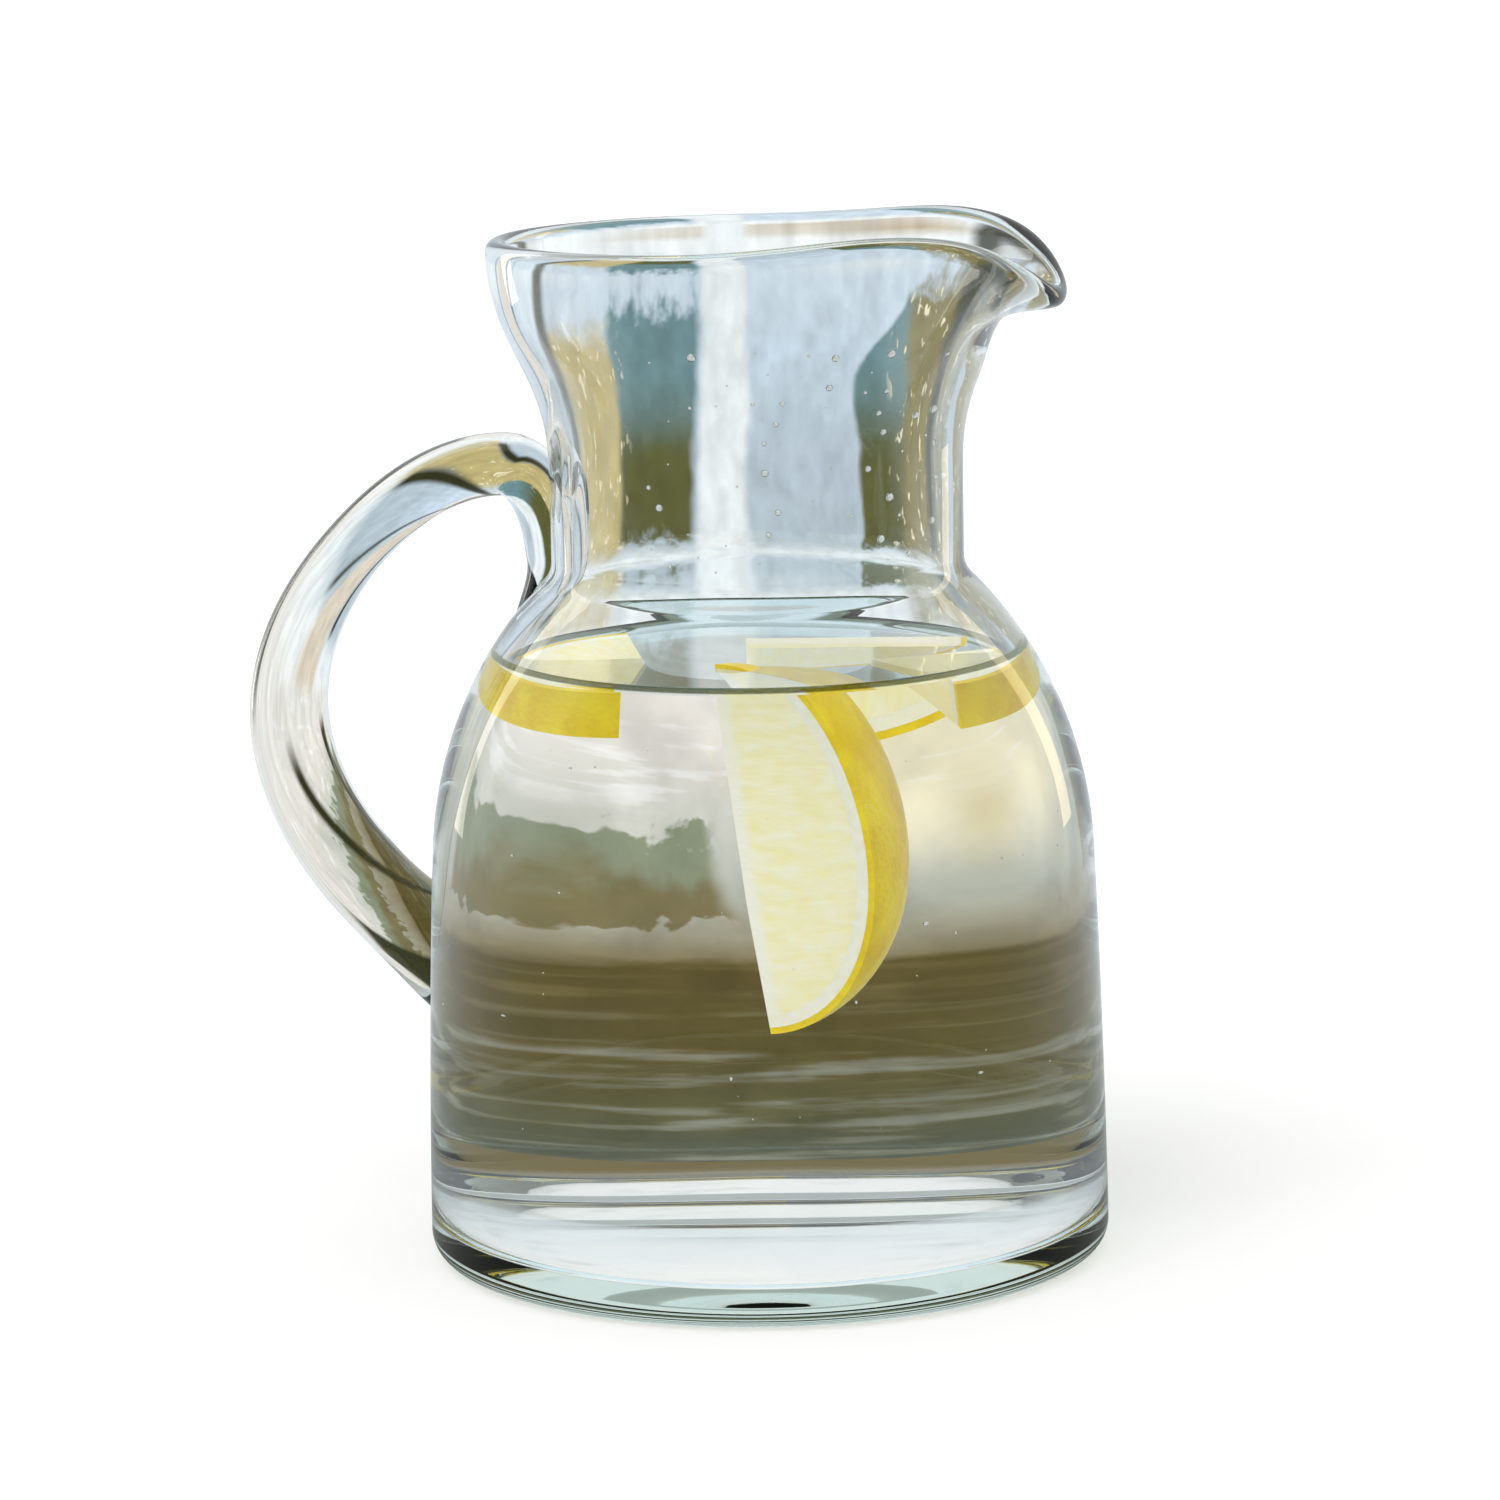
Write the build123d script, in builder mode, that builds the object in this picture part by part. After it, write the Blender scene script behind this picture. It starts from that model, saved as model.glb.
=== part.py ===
import os
from math import asin, atan2, cos, exp, radians, sin, sqrt

from build123d import *

# Water carafe of clear glass, filled to the shoulder, with pieces of lemon in the water.
# Millimetres, +Z up. The origin is the middle of the foot, the spout points along +X
# and the handle stands on the -X side.

# Vessel, one blown piece, from the foot up. Each rise starts where the one before it ends
body_radius = 68.3  # where the heel's round ends
heel_round = 5.0
wall = 3.5
floor_thickness = 7.0
floor_round = 6.0  # inside corner between floor and wall
side_height = 82.0  # where the side turns into the shoulder
side_taper = 2.2  # how far the side has come in by then
side_lean = 2.6  # degrees that the side leans in there
shoulder_rise = 57.7
neck_round = 6.0  # hollow round between shoulder and neck
neck_radius = 41.0
neck_rise = 18.9
flare_round = 42.2  # radius of the arc that widens the neck
flare_rise = 16.4
throat_rise = 12.0  # up to the throat, where the spout bends out
throat_out = 8.7  # the throat's radius over the neck's
throat_wall = 4.0
rim_rise = 16.5
rim_out = 11.4  # the rim's radius over the neck's
lip = 4.6  # thickness of the fire-rounded lip
joint_tolerance = 0.01

# Pouring lip: the rim pulled out and down between two raised wings
spout_pull = 9.8
spout_drop = 9.8
spout_lean = 72.0  # degrees that the lip bends outward at the tip
spout_spread = 28.6  # degrees round the rim over which it is pulled out
spout_width = 18.9  # degrees round the rim over which it dips
wing_rise = 2.4
wing_angle = 48.7  # degrees from the spout to each wing
wing_spread = 28.6
mouth_sections = 14
section_crowding = 1.5  # above 1 the sections lie closer together at the spout

# Handle: a drawn rod that starts as a tail on shoulder and neck and ends in a foot on the body
tail_length = 15.5  # from the foot of the neck down to where the tail runs out
tail_bite = 4.0  # how deep the tail's end lies in the shoulder before it is cut to it
tail_slope = 0.45  # sideways run of the tail for its rise where it starts
tail_proud = 6.4  # how far the tail stands out of the neck
tail_width = 18.0
tail_tip = 5.0  # thickness of the tail where it starts, and half its width there
crest_out = 10.5  # from the neck to the middle of the rod at its highest
crest_rise = 17.9  # from the foot of the neck up to there
bend_out = 14.1  # from the body's radius out to the rod between crest and grip
bend_drop = 16.2  # from the crest down to there
grip_out = 29.8
grip_drop = 51.1
root_height = 58.5  # where the foot is pressed on the body
root_size = 26.0
root_slope = 0.5  # fall of the rod for its run where it meets the body
root_bite = 8.0  # how deep the foot is drawn in before it is cut to the body
rod_top = 12.6
rod_grip = 16.0
rod_low = 17.6
rod_flat = 1.12  # width of the rod across the handle, over its thickness

# Water and lemon
headroom = 20.2  # from the water up to the foot of the neck
water_gap = 0.2  # clearance of the water to the glass and to the lemon
afloat = 1.0  # how far the pieces stand out of the water
lemon_radius = 27.0
lemon_half_length = 36.0
zest = 1.3
pith = 2.4
layer_gap = 0.15
slice_thickness = 9.0
slice_clear = 0.4  # from a floating slice to the wall
tip_clear = 4.6  # from the tip of the lying wedge to the wall
wedge_stump = 9.0  # what the lying wedge keeps of its second half
view_turn = 13.0  # the pieces are placed as seen this many degrees off the near side

shoulder_radius = body_radius - side_taper
neck_foot = side_height + shoulder_rise
flare_start = neck_foot + neck_rise
mouth_height = flare_start + flare_rise
throat_height = mouth_height + throat_rise
throat_radius = neck_radius + throat_out
rim_height = throat_height + rim_rise
rim_radius = neck_radius + rim_out
water_level = neck_foot - headroom
top = water_level + afloat

# Centres and radii of the arcs that make the outside, each tangent to the next
lean = radians(side_lean)
hollow_x = neck_radius + neck_round
shoulder_dx = shoulder_radius - hollow_x
shoulder_dz = side_height - neck_foot
shoulder_along = shoulder_dx * cos(lean) + shoulder_dz * sin(lean)
shoulder_round = (shoulder_dx**2 + shoulder_dz**2 - neck_round**2) / (2 * (neck_round + shoulder_along))
shoulder_x = shoulder_radius - shoulder_round * cos(lean)
shoulder_z = side_height - shoulder_round * sin(lean)
side_dz = side_height - heel_round
side_round = (side_taper**2 + side_dz**2) / (2 * (side_dz * sin(lean) - side_taper * cos(lean)))
side_x = shoulder_radius - side_round * cos(lean)
side_z = side_height - side_round * sin(lean)
turn = atan2(neck_foot - shoulder_z, hollow_x - shoulder_x)
flare_x = neck_radius + flare_round


def side_at(z, inset):
    """Radius of the side at a height, with the surface moved inward by inset."""
    return side_x + sqrt((side_round - inset) ** 2 - (z - side_z) ** 2)


def shoulder_at(z, inset):
    """Radius of the shoulder at a height, with the surface moved inward by inset."""
    return shoulder_x + sqrt((shoulder_round - inset) ** 2 - (z - shoulder_z) ** 2)


def flare_at(z, inset):
    """Radius of the flaring neck at a height, with the surface moved inward by inset."""
    return flare_x - sqrt((flare_round + inset) ** 2 - (z - flare_start) ** 2)


def half_profile(inset, bottom, corner):
    """Closed half outline from the axis to the foot of the mouth, moved inward by inset."""
    corner_top = bottom + corner
    corner_radius = side_at(corner_top, inset)
    side_middle = (corner_top + side_height) / 2
    side_top = (shoulder_radius - inset * cos(lean), side_height - inset * sin(lean))
    hollow = neck_round + inset
    shoulder_top = (hollow_x - hollow * cos(turn), neck_foot - hollow * sin(turn))
    mouth_radius = flare_at(mouth_height, inset)
    with BuildLine() as outline:
        Line((0, bottom), (corner_radius - corner, bottom))
        TangentArc((corner_radius - corner, bottom), (corner_radius, corner_top), tangent=(1, 0))
        ThreePointArc((corner_radius, corner_top), (side_at(side_middle, inset), side_middle), side_top)
        RadiusArc(side_top, shoulder_top, inset - shoulder_round)
        RadiusArc(shoulder_top, (neck_radius - inset, neck_foot), hollow)
        Line((neck_radius - inset, neck_foot), (neck_radius - inset, flare_start))
        RadiusArc((neck_radius - inset, flare_start), (mouth_radius, mouth_height), flare_round + inset)
        Polyline((mouth_radius, mouth_height), (0, mouth_height), (0, bottom))
    return outline


def bell(angle, spread):
    return exp(-((angle / spread) ** 2))


def mouth_section(angle):
    """Closed outline of the mouth's wall and lip in the half plane at an angle from the spout."""
    dip = bell(angle, spout_width)
    bend = radians(spout_lean * dip)
    pull = spout_pull * bell(angle, spout_spread)
    rise = wing_rise * bell(angle - wing_angle, wing_spread) - spout_drop * dip
    tip = Vector(rim_radius - lip / 2 + pull, rim_height - lip / 2 + rise)
    across = Vector(cos(bend), -sin(bend)) * (lip / 2)
    along = Vector(sin(bend), cos(bend)) * (lip / 2)
    outer = (flare_at(mouth_height, 0), mouth_height)
    outer_lean = asin(flare_rise / flare_round)
    inner = (flare_at(mouth_height, wall), mouth_height)
    inner_lean = asin(flare_rise / (flare_round + wall))
    outward = (cos(radians(angle)), sin(radians(angle)), 0)
    sideways = (sin(radians(angle)), -cos(radians(angle)), 0)
    with BuildSketch(Plane(origin=(0, 0, 0), x_dir=outward, z_dir=sideways)) as section:
        with BuildLine():
            Spline(
                outer,
                (throat_radius, throat_height),
                tip + across,
                tangents=((sin(outer_lean), cos(outer_lean)), along),
            )
            ThreePointArc(tip + across, tip + along, tip - across)
            Spline(
                tip - across,
                (throat_radius - throat_wall, throat_height),
                inner,
                tangents=(-along, (-sin(inner_lean), -cos(inner_lean))),
            )
            Line(inner, outer)
        make_face()
    return section


os.makedirs("parts", exist_ok=True)

# The vessel's outside as a full body, kept to cut what is pressed on it
with BuildPart() as outside:
    with BuildSketch(Plane.XZ):
        add(half_profile(0, 0, heel_round).line)
        make_face()
    revolve(axis=Axis.Z)

# The room inside, up to the foot of the mouth
with BuildPart() as room:
    with BuildSketch(Plane.XZ):
        add(half_profile(wall, floor_thickness, floor_round).line)
        make_face()
    revolve(axis=Axis.Z)

# The drawn mouth, one half lofted round the rim and mirrored
with BuildPart() as mouth:
    for step in range(mouth_sections):
        add(mouth_section(180 * (step / (mouth_sections - 1)) ** section_crowding).sketch)
    loft()
    mirror(about=Plane.XZ)

with BuildPart() as vessel:
    add(outside.part)
    add(room.part, mode=Mode.SUBTRACT)

# The mouth's lofted edges miss the flare's circles by a hair, which the tolerance takes up
with BuildPart() as carafe_body:
    add(vessel.part.fuse(mouth.part, tol=joint_tolerance))
carafe_body.part.label = "carafe_body"
export_step(carafe_body.part, "parts/carafe_body.step")

# Middle line of the handle: up the neck, over the crest and the grip and back to the body
tail_x = -(neck_radius + tail_proud - rod_top / 2)
tail_end = neck_foot - tail_length
crest = (-(neck_radius + crest_out), neck_foot + crest_rise)
bend = (-(body_radius + bend_out), crest[1] - bend_drop)
grip = (-(body_radius + grip_out), crest[1] - grip_drop)
root = (-(side_at(root_height, 0) - root_bite), root_height - root_bite * root_slope)
with BuildLine(Plane.XZ):
    tail_run = Spline(
        (-(shoulder_at(tail_end, 0) - tail_bite), tail_end),
        (tail_x, neck_foot),
        tangents=((tail_slope, 1), (0, 1)),
    )
    turn_out = EllipticalCenterArc(
        (crest[0], neck_foot), tail_x - crest[0], crest_rise, start_angle=0, arc_size=90
    )
    upper_run = Spline(crest, bend, grip, tangents=((-1, 0), (0, -1)))
    lower_run = Spline(grip, root, tangents=((0, -1), (1, -root_slope)))
# Where the rod's thickness and width are set: a run, the share of it, thickness, width
rod_stations = (
    (tail_run, 0.0, tail_tip, 2 * tail_tip),
    (tail_run, 0.5, (tail_tip + rod_top) / 2, tail_tip + tail_width / 2),
    (tail_run, 1.0, rod_top, tail_width),
    (turn_out, 0.5, rod_top, tail_width),
    (turn_out, 1.0, rod_top, tail_width),
    (upper_run, 0.25, rod_top, rod_top * rod_flat),
    (upper_run, 0.5, rod_top, rod_top * rod_flat),
    (upper_run, 1.0, rod_grip, rod_grip * rod_flat),
    (lower_run, 0.5, rod_low, rod_low * rod_flat),
    (lower_run, 0.75, rod_low, rod_low * rod_flat),
    (lower_run, 1.0, root_size, root_size),
)
with BuildPart() as handle:
    for run, share, thickness, width in rod_stations:
        with BuildSketch(Plane(origin=run @ share, x_dir=(0, 1, 0), z_dir=run % share)):
            Ellipse(width / 2, thickness / 2)
    loft()
    add(outside.part, mode=Mode.SUBTRACT)
handle.part.label = "handle"
export_step(handle.part, "parts/handle.step")


def lemon_outline(inner, outer, keep):
    """Half outline of the lemon between two depths under its skin, with keep of its lower half."""
    reach = lemon_half_length + keep
    with BuildSketch() as outline:
        Ellipse(lemon_radius - outer, lemon_half_length - outer)
        if inner is not None:
            Ellipse(lemon_radius - inner, lemon_half_length - inner, mode=Mode.SUBTRACT)
        with Locations((lemon_radius, reach - keep)):
            Rectangle(2 * lemon_radius, 2 * reach, mode=Mode.INTERSECT)
    return outline


def lemon_layer(shape, frame, sweep, keep, inner, outer, grow=0.0):
    """A layer of a lemon piece, turned about the frame's Z from its X through sweep degrees."""
    with BuildPart() as piece:
        with BuildSketch(Plane(origin=frame.origin, x_dir=frame.x_dir, z_dir=-frame.y_dir)):
            if shape == "wedge":
                add(lemon_outline(inner, outer, keep + grow).sketch)
            else:
                low = 0 if inner is None else lemon_radius - inner
                with Locations(((low + lemon_radius - outer) / 2, -slice_thickness / 2)):
                    Rectangle(lemon_radius - outer - low, slice_thickness + 2 * grow)
        revolve(axis=Axis(frame.origin, frame.z_dir), revolution_arc=sweep)
    return piece


def as_seen(right, away, up):
    """A place or a direction, as the viewer sees it who stands view_turn off the near side."""
    return Vector(right, away, up).rotate(Axis.Z, view_turn)


def near_wall(clear, degrees):
    """Right and away of the place that is clear of the wall at the top of the floating pieces."""
    reach = shoulder_at(top, wall) - clear
    return reach * cos(radians(degrees)), reach * sin(radians(degrees))


# Layers of a lemon, each between two depths under the skin
layers = (
    ("zest", zest, 0.0),
    ("pith", zest + pith, zest + layer_gap),
    ("flesh", None, zest + pith + layer_gap),
)
left_right, left_away = near_wall(lemon_radius + slice_clear, 193)
right_right, right_away = near_wall(lemon_radius + slice_clear, 343.5)
tip_right, tip_away = near_wall(tip_clear, 22)
# The pieces of lemon: shape, place, where the sweep starts, its axis, degrees, kept lower half
pieces = {
    "front": (
        "wedge",
        (-4, -15, top - lemon_half_length),
        (0.82, -0.57, 0.11),
        (-0.13, 0, 0.99),
        50,
        lemon_half_length,
    ),
    "back": (
        "wedge",
        (tip_right - lemon_half_length, tip_away, top),
        (0, -0.26, -0.97),
        (1, 0, 0),
        45,
        wedge_stump,
    ),
    "left": ("slice", (left_right, left_away, top), (-0.17, 0.98, 0), (0, 0, 1), 165, 0),
    "right": ("slice", (right_right, right_away, top), (0.5, -0.87, 0), (0, 0, 1), 80, 0),
}
pockets = []
for piece, (shape, place, start, axis, sweep, keep) in pieces.items():
    frame = Plane(origin=as_seen(*place), x_dir=as_seen(*start), z_dir=as_seen(*axis))
    for layer, inner, outer in layers:
        solid = lemon_layer(shape, frame, sweep, keep, inner, outer)
        solid.part.label = f"lemon_{piece}_{layer}"
        export_step(solid.part, f"parts/{solid.part.label}.step")
    # The hollow that the piece makes in the water is wider all round by the gap
    half = radians(sweep / 2)
    back_off = water_gap / sin(half)
    bisector = frame.x_dir * cos(half) + frame.y_dir * sin(half)
    wide = Plane(origin=frame.origin - bisector * back_off, x_dir=frame.x_dir, z_dir=frame.z_dir)
    pockets.append(lemon_layer(shape, wide, sweep, keep, None, -water_gap - back_off, water_gap))

# Water: fills the room to its level, round the floating pieces
with BuildPart() as water:
    with BuildSketch(Plane.XZ):
        add(half_profile(wall + water_gap, floor_thickness + water_gap, floor_round).line)
        make_face()
    revolve(axis=Axis.Z)
    split(bisect_by=Plane.XY.offset(water_level), keep=Keep.BOTTOM)
    for pocket in pockets:
        add(pocket.part, mode=Mode.SUBTRACT)
water.part.label = "water"
export_step(water.part, "parts/water.step")
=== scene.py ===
import math

import bmesh
import bpy
import numpy as np
from mathutils import Matrix, Vector


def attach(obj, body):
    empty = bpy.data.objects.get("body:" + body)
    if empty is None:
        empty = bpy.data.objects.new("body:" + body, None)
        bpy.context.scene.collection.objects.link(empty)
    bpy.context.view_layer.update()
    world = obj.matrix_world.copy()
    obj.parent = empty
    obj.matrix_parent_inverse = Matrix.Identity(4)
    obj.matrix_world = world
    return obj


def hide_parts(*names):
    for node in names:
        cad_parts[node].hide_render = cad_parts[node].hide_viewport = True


# Water carafe of clear glass with water and pieces of lemon.
# Sizes are in millimetres, except in the studio and for the size and spacing of the beads, which
# are in metres, and angles are in degrees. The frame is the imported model's: +Z up, the pouring lip
# along +X and the handle on the -X side.

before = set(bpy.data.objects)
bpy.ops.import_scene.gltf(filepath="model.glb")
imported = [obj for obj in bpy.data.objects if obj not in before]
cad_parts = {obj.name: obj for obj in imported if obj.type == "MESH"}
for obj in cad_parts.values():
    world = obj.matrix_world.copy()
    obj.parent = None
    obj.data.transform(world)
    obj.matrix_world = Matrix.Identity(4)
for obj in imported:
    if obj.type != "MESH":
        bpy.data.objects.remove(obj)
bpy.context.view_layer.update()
scene = bpy.context.scene
mm = 0.001


# Small helpers for meshes, curves and node trees

def addObject(name, data):
    obj = bpy.data.objects.new(name, data)
    scene.collection.objects.link(obj)
    return obj


def meshFrom(name, points, faces, smooth=True):
    # points in millimetres
    mesh = bpy.data.meshes.new(name)
    mesh.from_pydata((np.asarray(points, float) * mm).tolist(), [], faces)
    if smooth:
        mesh.shade_smooth()
    return mesh


def closeSeams(mesh, reach=0.001):
    # doubles at seams and poles are merged and the faces turned outward
    shape = bmesh.new()
    shape.from_mesh(mesh)
    bmesh.ops.remove_doubles(shape, verts=shape.verts, dist=reach * mm)
    bmesh.ops.dissolve_degenerate(shape, edges=shape.edges, dist=1e-7)
    bmesh.ops.recalc_face_normals(shape, faces=shape.faces)
    shape.to_mesh(mesh)
    shape.free()


def gridFaces(rows, columns, wrap):
    # quads between neighbouring rows, round the columns where wrap is set
    last = columns if wrap else columns - 1
    return [
        (r * columns + c, r * columns + (c + 1) % columns,
         (r + 1) * columns + (c + 1) % columns, (r + 1) * columns + c)
        for r in range(rows - 1) for c in range(last)
    ]


def arcPoints(centre, radius, start, end, count):
    turn = np.linspace(start, end, count)
    return np.column_stack([centre[0] + radius * np.cos(turn), centre[1] + radius * np.sin(turn)])


def smoothCurve(points, startSlope, endSlope, count):
    # cubic curve through the points with given directions at both ends, by length of chord
    points = np.asarray(points, float)
    steps = np.linalg.norm(np.diff(points, axis=0), axis=1)
    knots = np.concatenate([[0], np.cumsum(steps)])
    size = len(points)
    left = np.eye(size)
    right = np.zeros_like(points)
    right[0] = np.asarray(startSlope, float) / np.linalg.norm(startSlope)
    right[-1] = np.asarray(endSlope, float) / np.linalg.norm(endSlope)
    for i in range(1, size - 1):
        before, after = steps[i - 1], steps[i]
        left[i, i - 1:i + 2] = after, 2 * (before + after), before
        right[i] = 3 * (after * (points[i] - points[i - 1]) / before
                        + before * (points[i + 1] - points[i]) / after)
    slopes = np.linalg.solve(left, right)
    at = np.linspace(0, knots[-1], count)
    span = np.clip(np.searchsorted(knots, at, side="right") - 1, 0, size - 2)
    width = steps[span]
    t = ((at - knots[span]) / width)[:, None]
    width = width[:, None]
    return ((2 * t**3 - 3 * t**2 + 1) * points[span] + (t**3 - 2 * t**2 + t) * width * slopes[span]
            + (3 * t**2 - 2 * t**3) * points[span + 1] + (t**3 - t**2) * width * slopes[span + 1])


def newMaterial(name):
    material = bpy.data.materials.new(name)
    material.use_nodes = True
    material.node_tree.nodes.clear()
    output = material.node_tree.nodes.new("ShaderNodeOutputMaterial")
    return material, material.node_tree, output


def addNode(tree, kind, **settings):
    # settings are properties of the node, or values of its inputs under their names
    node = tree.nodes.new(kind)
    for key, value in settings.items():
        if key in node.inputs.keys():
            node.inputs[key].default_value = value
        else:
            setattr(node, key, value)
    return node


def feed(tree, socket, value):
    # value is an output or a plain value
    if hasattr(value, "is_linked"):
        tree.links.new(value, socket)
    else:
        socket.default_value = value


def calculate(tree, operation, *values):
    node = addNode(tree, "ShaderNodeMath", operation=operation)
    for socket, value in zip(node.inputs, values):
        feed(tree, socket, value)
    return node.outputs[0]


def multiply(tree, first, second):
    return calculate(tree, "MULTIPLY", first, second)


def invert(tree, value):
    return calculate(tree, "SUBTRACT", 1.0, value)


def maximum(tree, *sources):
    # the largest of several outputs
    best = sources[0]
    for source in sources[1:]:
        best = calculate(tree, "MAXIMUM", best, source)
    return best


def mixColour(tree, factor, first, second):
    node = addNode(tree, "ShaderNodeMix", data_type="RGBA")
    feed(tree, node.inputs["Factor"], factor)
    feed(tree, node.inputs[6], first)
    feed(tree, node.inputs[7], second)
    return node.outputs[2]


def mixShader(tree, factor, first, second):
    node = addNode(tree, "ShaderNodeMixShader")
    feed(tree, node.inputs["Fac"], factor)
    tree.links.new(first, node.inputs[1])
    tree.links.new(second, node.inputs[2])
    return node.outputs["Shader"]


def rampUp(tree, value, low, high):
    # smooth step from 0 at low to 1 at high
    node = addNode(tree, "ShaderNodeMapRange", interpolation_type="SMOOTHSTEP")
    node.inputs["From Min"].default_value = low
    node.inputs["From Max"].default_value = high
    feed(tree, node.inputs["Value"], value)
    return node.outputs["Result"]


def band(tree, value, low, high, soft):
    # 1 between low and high, with soft edges
    falling = invert(tree, rampUp(tree, value, high - soft, high + soft))
    return multiply(tree, rampUp(tree, value, low - soft, low + soft), falling)


def toneRamp(tree, value, stops):
    # colours at heights, blended between them
    low, high = stops[0][0], stops[-1][0]
    node = addNode(tree, "ShaderNodeValToRGB")
    elements = node.color_ramp.elements
    while len(elements) < len(stops):
        elements.new(0.5)
    for element, (height, colour) in zip(elements, stops):
        element.position = (height - low) / (high - low)
        element.color = (*colour, 1)
    spread = addNode(tree, "ShaderNodeMapRange")
    spread.inputs["From Min"].default_value = low
    spread.inputs["From Max"].default_value = high
    feed(tree, spread.inputs["Value"], value)
    tree.links.new(spread.outputs["Result"], node.inputs["Fac"])
    return node.outputs["Color"]


# Vessel: one blown piece with its handle, as one closed mesh

vessel = {
    "bodyRadius": 68.3,
    "heelRound": 5.0,
    "wall": 3.5,
    "floorThickness": 7.0,
    "floorRound": 6.0,
    "sideHeight": 82.0,
    "sideTaper": 2.2,
    "sideLean": 2.6,
    "shoulderRise": 57.7,
    "neckRound": 6.0,
    "neckRadius": 41.0,
    "neckRise": 18.9,
    "flareRound": 42.2,
    "flareRise": 16.4,
    "throatRise": 12.0,
    "throatOut": 8.7,
    "throatWall": 4.0,
    "rimRise": 16.5,
    "rimOut": 11.4,
    "lip": 4.6,
    "spoutPull": 9.8,
    "spoutDrop": 9.8,
    "spoutLean": 72.0,
    "spoutSpread": 28.6,
    "spoutWidth": 18.9,
    "wingRise": 2.4,
    "wingAngle": 48.7,
    "wingSpread": 28.6,
    "punt": 1.6,  # how far the middle of the underside is pushed up
    "wobble": 0.10,  # unevenness of the blown walls
    "innerWobble": 1.4,  # share of it on the inner wall
    "outerPhase": 0.4,
    "innerPhase": 1.7,
    # slow waves round and up the wall: height, number round, length upward and share of the phase
    "waves": ((0.38, 2, 29, 1.0), (0.27, 3, -17, 2.1), (0.20, 5, 12, 0.7), (0.15, 8, -9, 3.3)),
    "calm": 20.0,  # radius within which the wobble dies out towards the middle
    "columns": 288,
    # points along each span of the outline
    "points": {"flat": 14, "corner": 12, "side": 18, "shoulderLow": 26, "shoulderHigh": 12,
               "hollow": 9, "neck": 6, "flare": 8, "throat": 16, "lip": 15},
    "sharp": 50.0,  # edges bent more than this stay sharp
}
water = {
    "headroom": 20.2,
    "meniscus": 1.5,  # how far the water climbs up the glass
    "meniscusReach": 1.7,
    "overlap": 0.12,  # how far the water's mesh reaches into the glass
    "sunkRows": 4,  # rows of the floor's corner that reach down into it
    "nearRings": (0.05, 12, 22),  # rings of the surface in from the wall: first, last and number
    "farRings": (16, 14),  # and evenly on to the middle: first and number
}

lean = math.radians(vessel["sideLean"])
shoulderRadius = vessel["bodyRadius"] - vessel["sideTaper"]
neckFoot = vessel["sideHeight"] + vessel["shoulderRise"]
flareStart = neckFoot + vessel["neckRise"]
mouthHeight = flareStart + vessel["flareRise"]
throatHeight = mouthHeight + vessel["throatRise"]
throatRadius = vessel["neckRadius"] + vessel["throatOut"]
rimHeight = throatHeight + vessel["rimRise"]
rimRadius = vessel["neckRadius"] + vessel["rimOut"]
hollowX = vessel["neckRadius"] + vessel["neckRound"]
shoulderDx = shoulderRadius - hollowX
shoulderDz = vessel["sideHeight"] - neckFoot
shoulderAlong = shoulderDx * math.cos(lean) + shoulderDz * math.sin(lean)
shoulderRound = ((shoulderDx**2 + shoulderDz**2 - vessel["neckRound"]**2)
                 / (2 * (vessel["neckRound"] + shoulderAlong)))
shoulderX = shoulderRadius - shoulderRound * math.cos(lean)
shoulderZ = vessel["sideHeight"] - shoulderRound * math.sin(lean)
sideDz = vessel["sideHeight"] - vessel["heelRound"]
sideRound = ((vessel["sideTaper"]**2 + sideDz**2)
             / (2 * (sideDz * math.sin(lean) - vessel["sideTaper"] * math.cos(lean))))
sideX = shoulderRadius - sideRound * math.cos(lean)
sideZ = vessel["sideHeight"] - sideRound * math.sin(lean)
shoulderTurn = math.atan2(neckFoot - shoulderZ, hollowX - shoulderX)
flareX = vessel["neckRadius"] + vessel["flareRound"]
waterLevel = neckFoot - water["headroom"]
contactLevel = waterLevel + water["meniscus"]


def sideAt(z, inset):
    # radius of the side at a height, moved inward by inset
    return sideX + math.sqrt((sideRound - inset)**2 - (z - sideZ)**2)


def shoulderAt(z, inset):
    return shoulderX + math.sqrt((shoulderRound - inset)**2 - (z - shoulderZ)**2)


def wallSpans(inset, bottom, corner, split):
    # outline from the foot or floor up to the mouth, moved inward by inset, span by span.
    # the shoulder is split at a height, so that a row of points lies on it
    low = bottom + corner
    lowRadius = sideAt(low, inset)
    sideStart = math.atan2(low - sideZ, lowRadius - sideX)
    shoulder = shoulderRound - inset
    splitTurn = math.asin((split - shoulderZ) / shoulder)
    hollow = vessel["neckRound"] + inset
    flare = vessel["flareRound"] + inset
    rise = math.asin(vessel["flareRise"] / flare)
    neck = vessel["neckRadius"] - inset
    count = vessel["points"]
    flat = np.linspace(0, lowRadius - corner, count["flat"])
    punt = vessel["punt"] if inset == 0 else 0
    arcs = {
        "corner": ((lowRadius - corner, low), corner, -math.pi / 2, 0),
        "side": ((sideX, sideZ), sideRound - inset, sideStart, lean),
        "shoulderLow": ((shoulderX, shoulderZ), shoulder, lean, splitTurn),
        "shoulderHigh": ((shoulderX, shoulderZ), shoulder, splitTurn, shoulderTurn),
        "hollow": ((hollowX, neckFoot), hollow, math.pi + shoulderTurn, math.pi),
        "flare": ((flareX, flareStart), flare, math.pi, math.pi - rise),
    }
    spans = {name: arcPoints(*arc, count[name]) for name, arc in arcs.items()}
    spans["flat"] = np.column_stack([flat, bottom + punt * (1 + np.cos(np.pi * flat / flat[-1])) / 2])
    spans["neck"] = np.column_stack([np.full(count["neck"], neck),
                                     np.linspace(neckFoot, flareStart, count["neck"])])
    return spans


def bell(angle, spread):
    return math.exp(-(angle / spread)**2)


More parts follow.
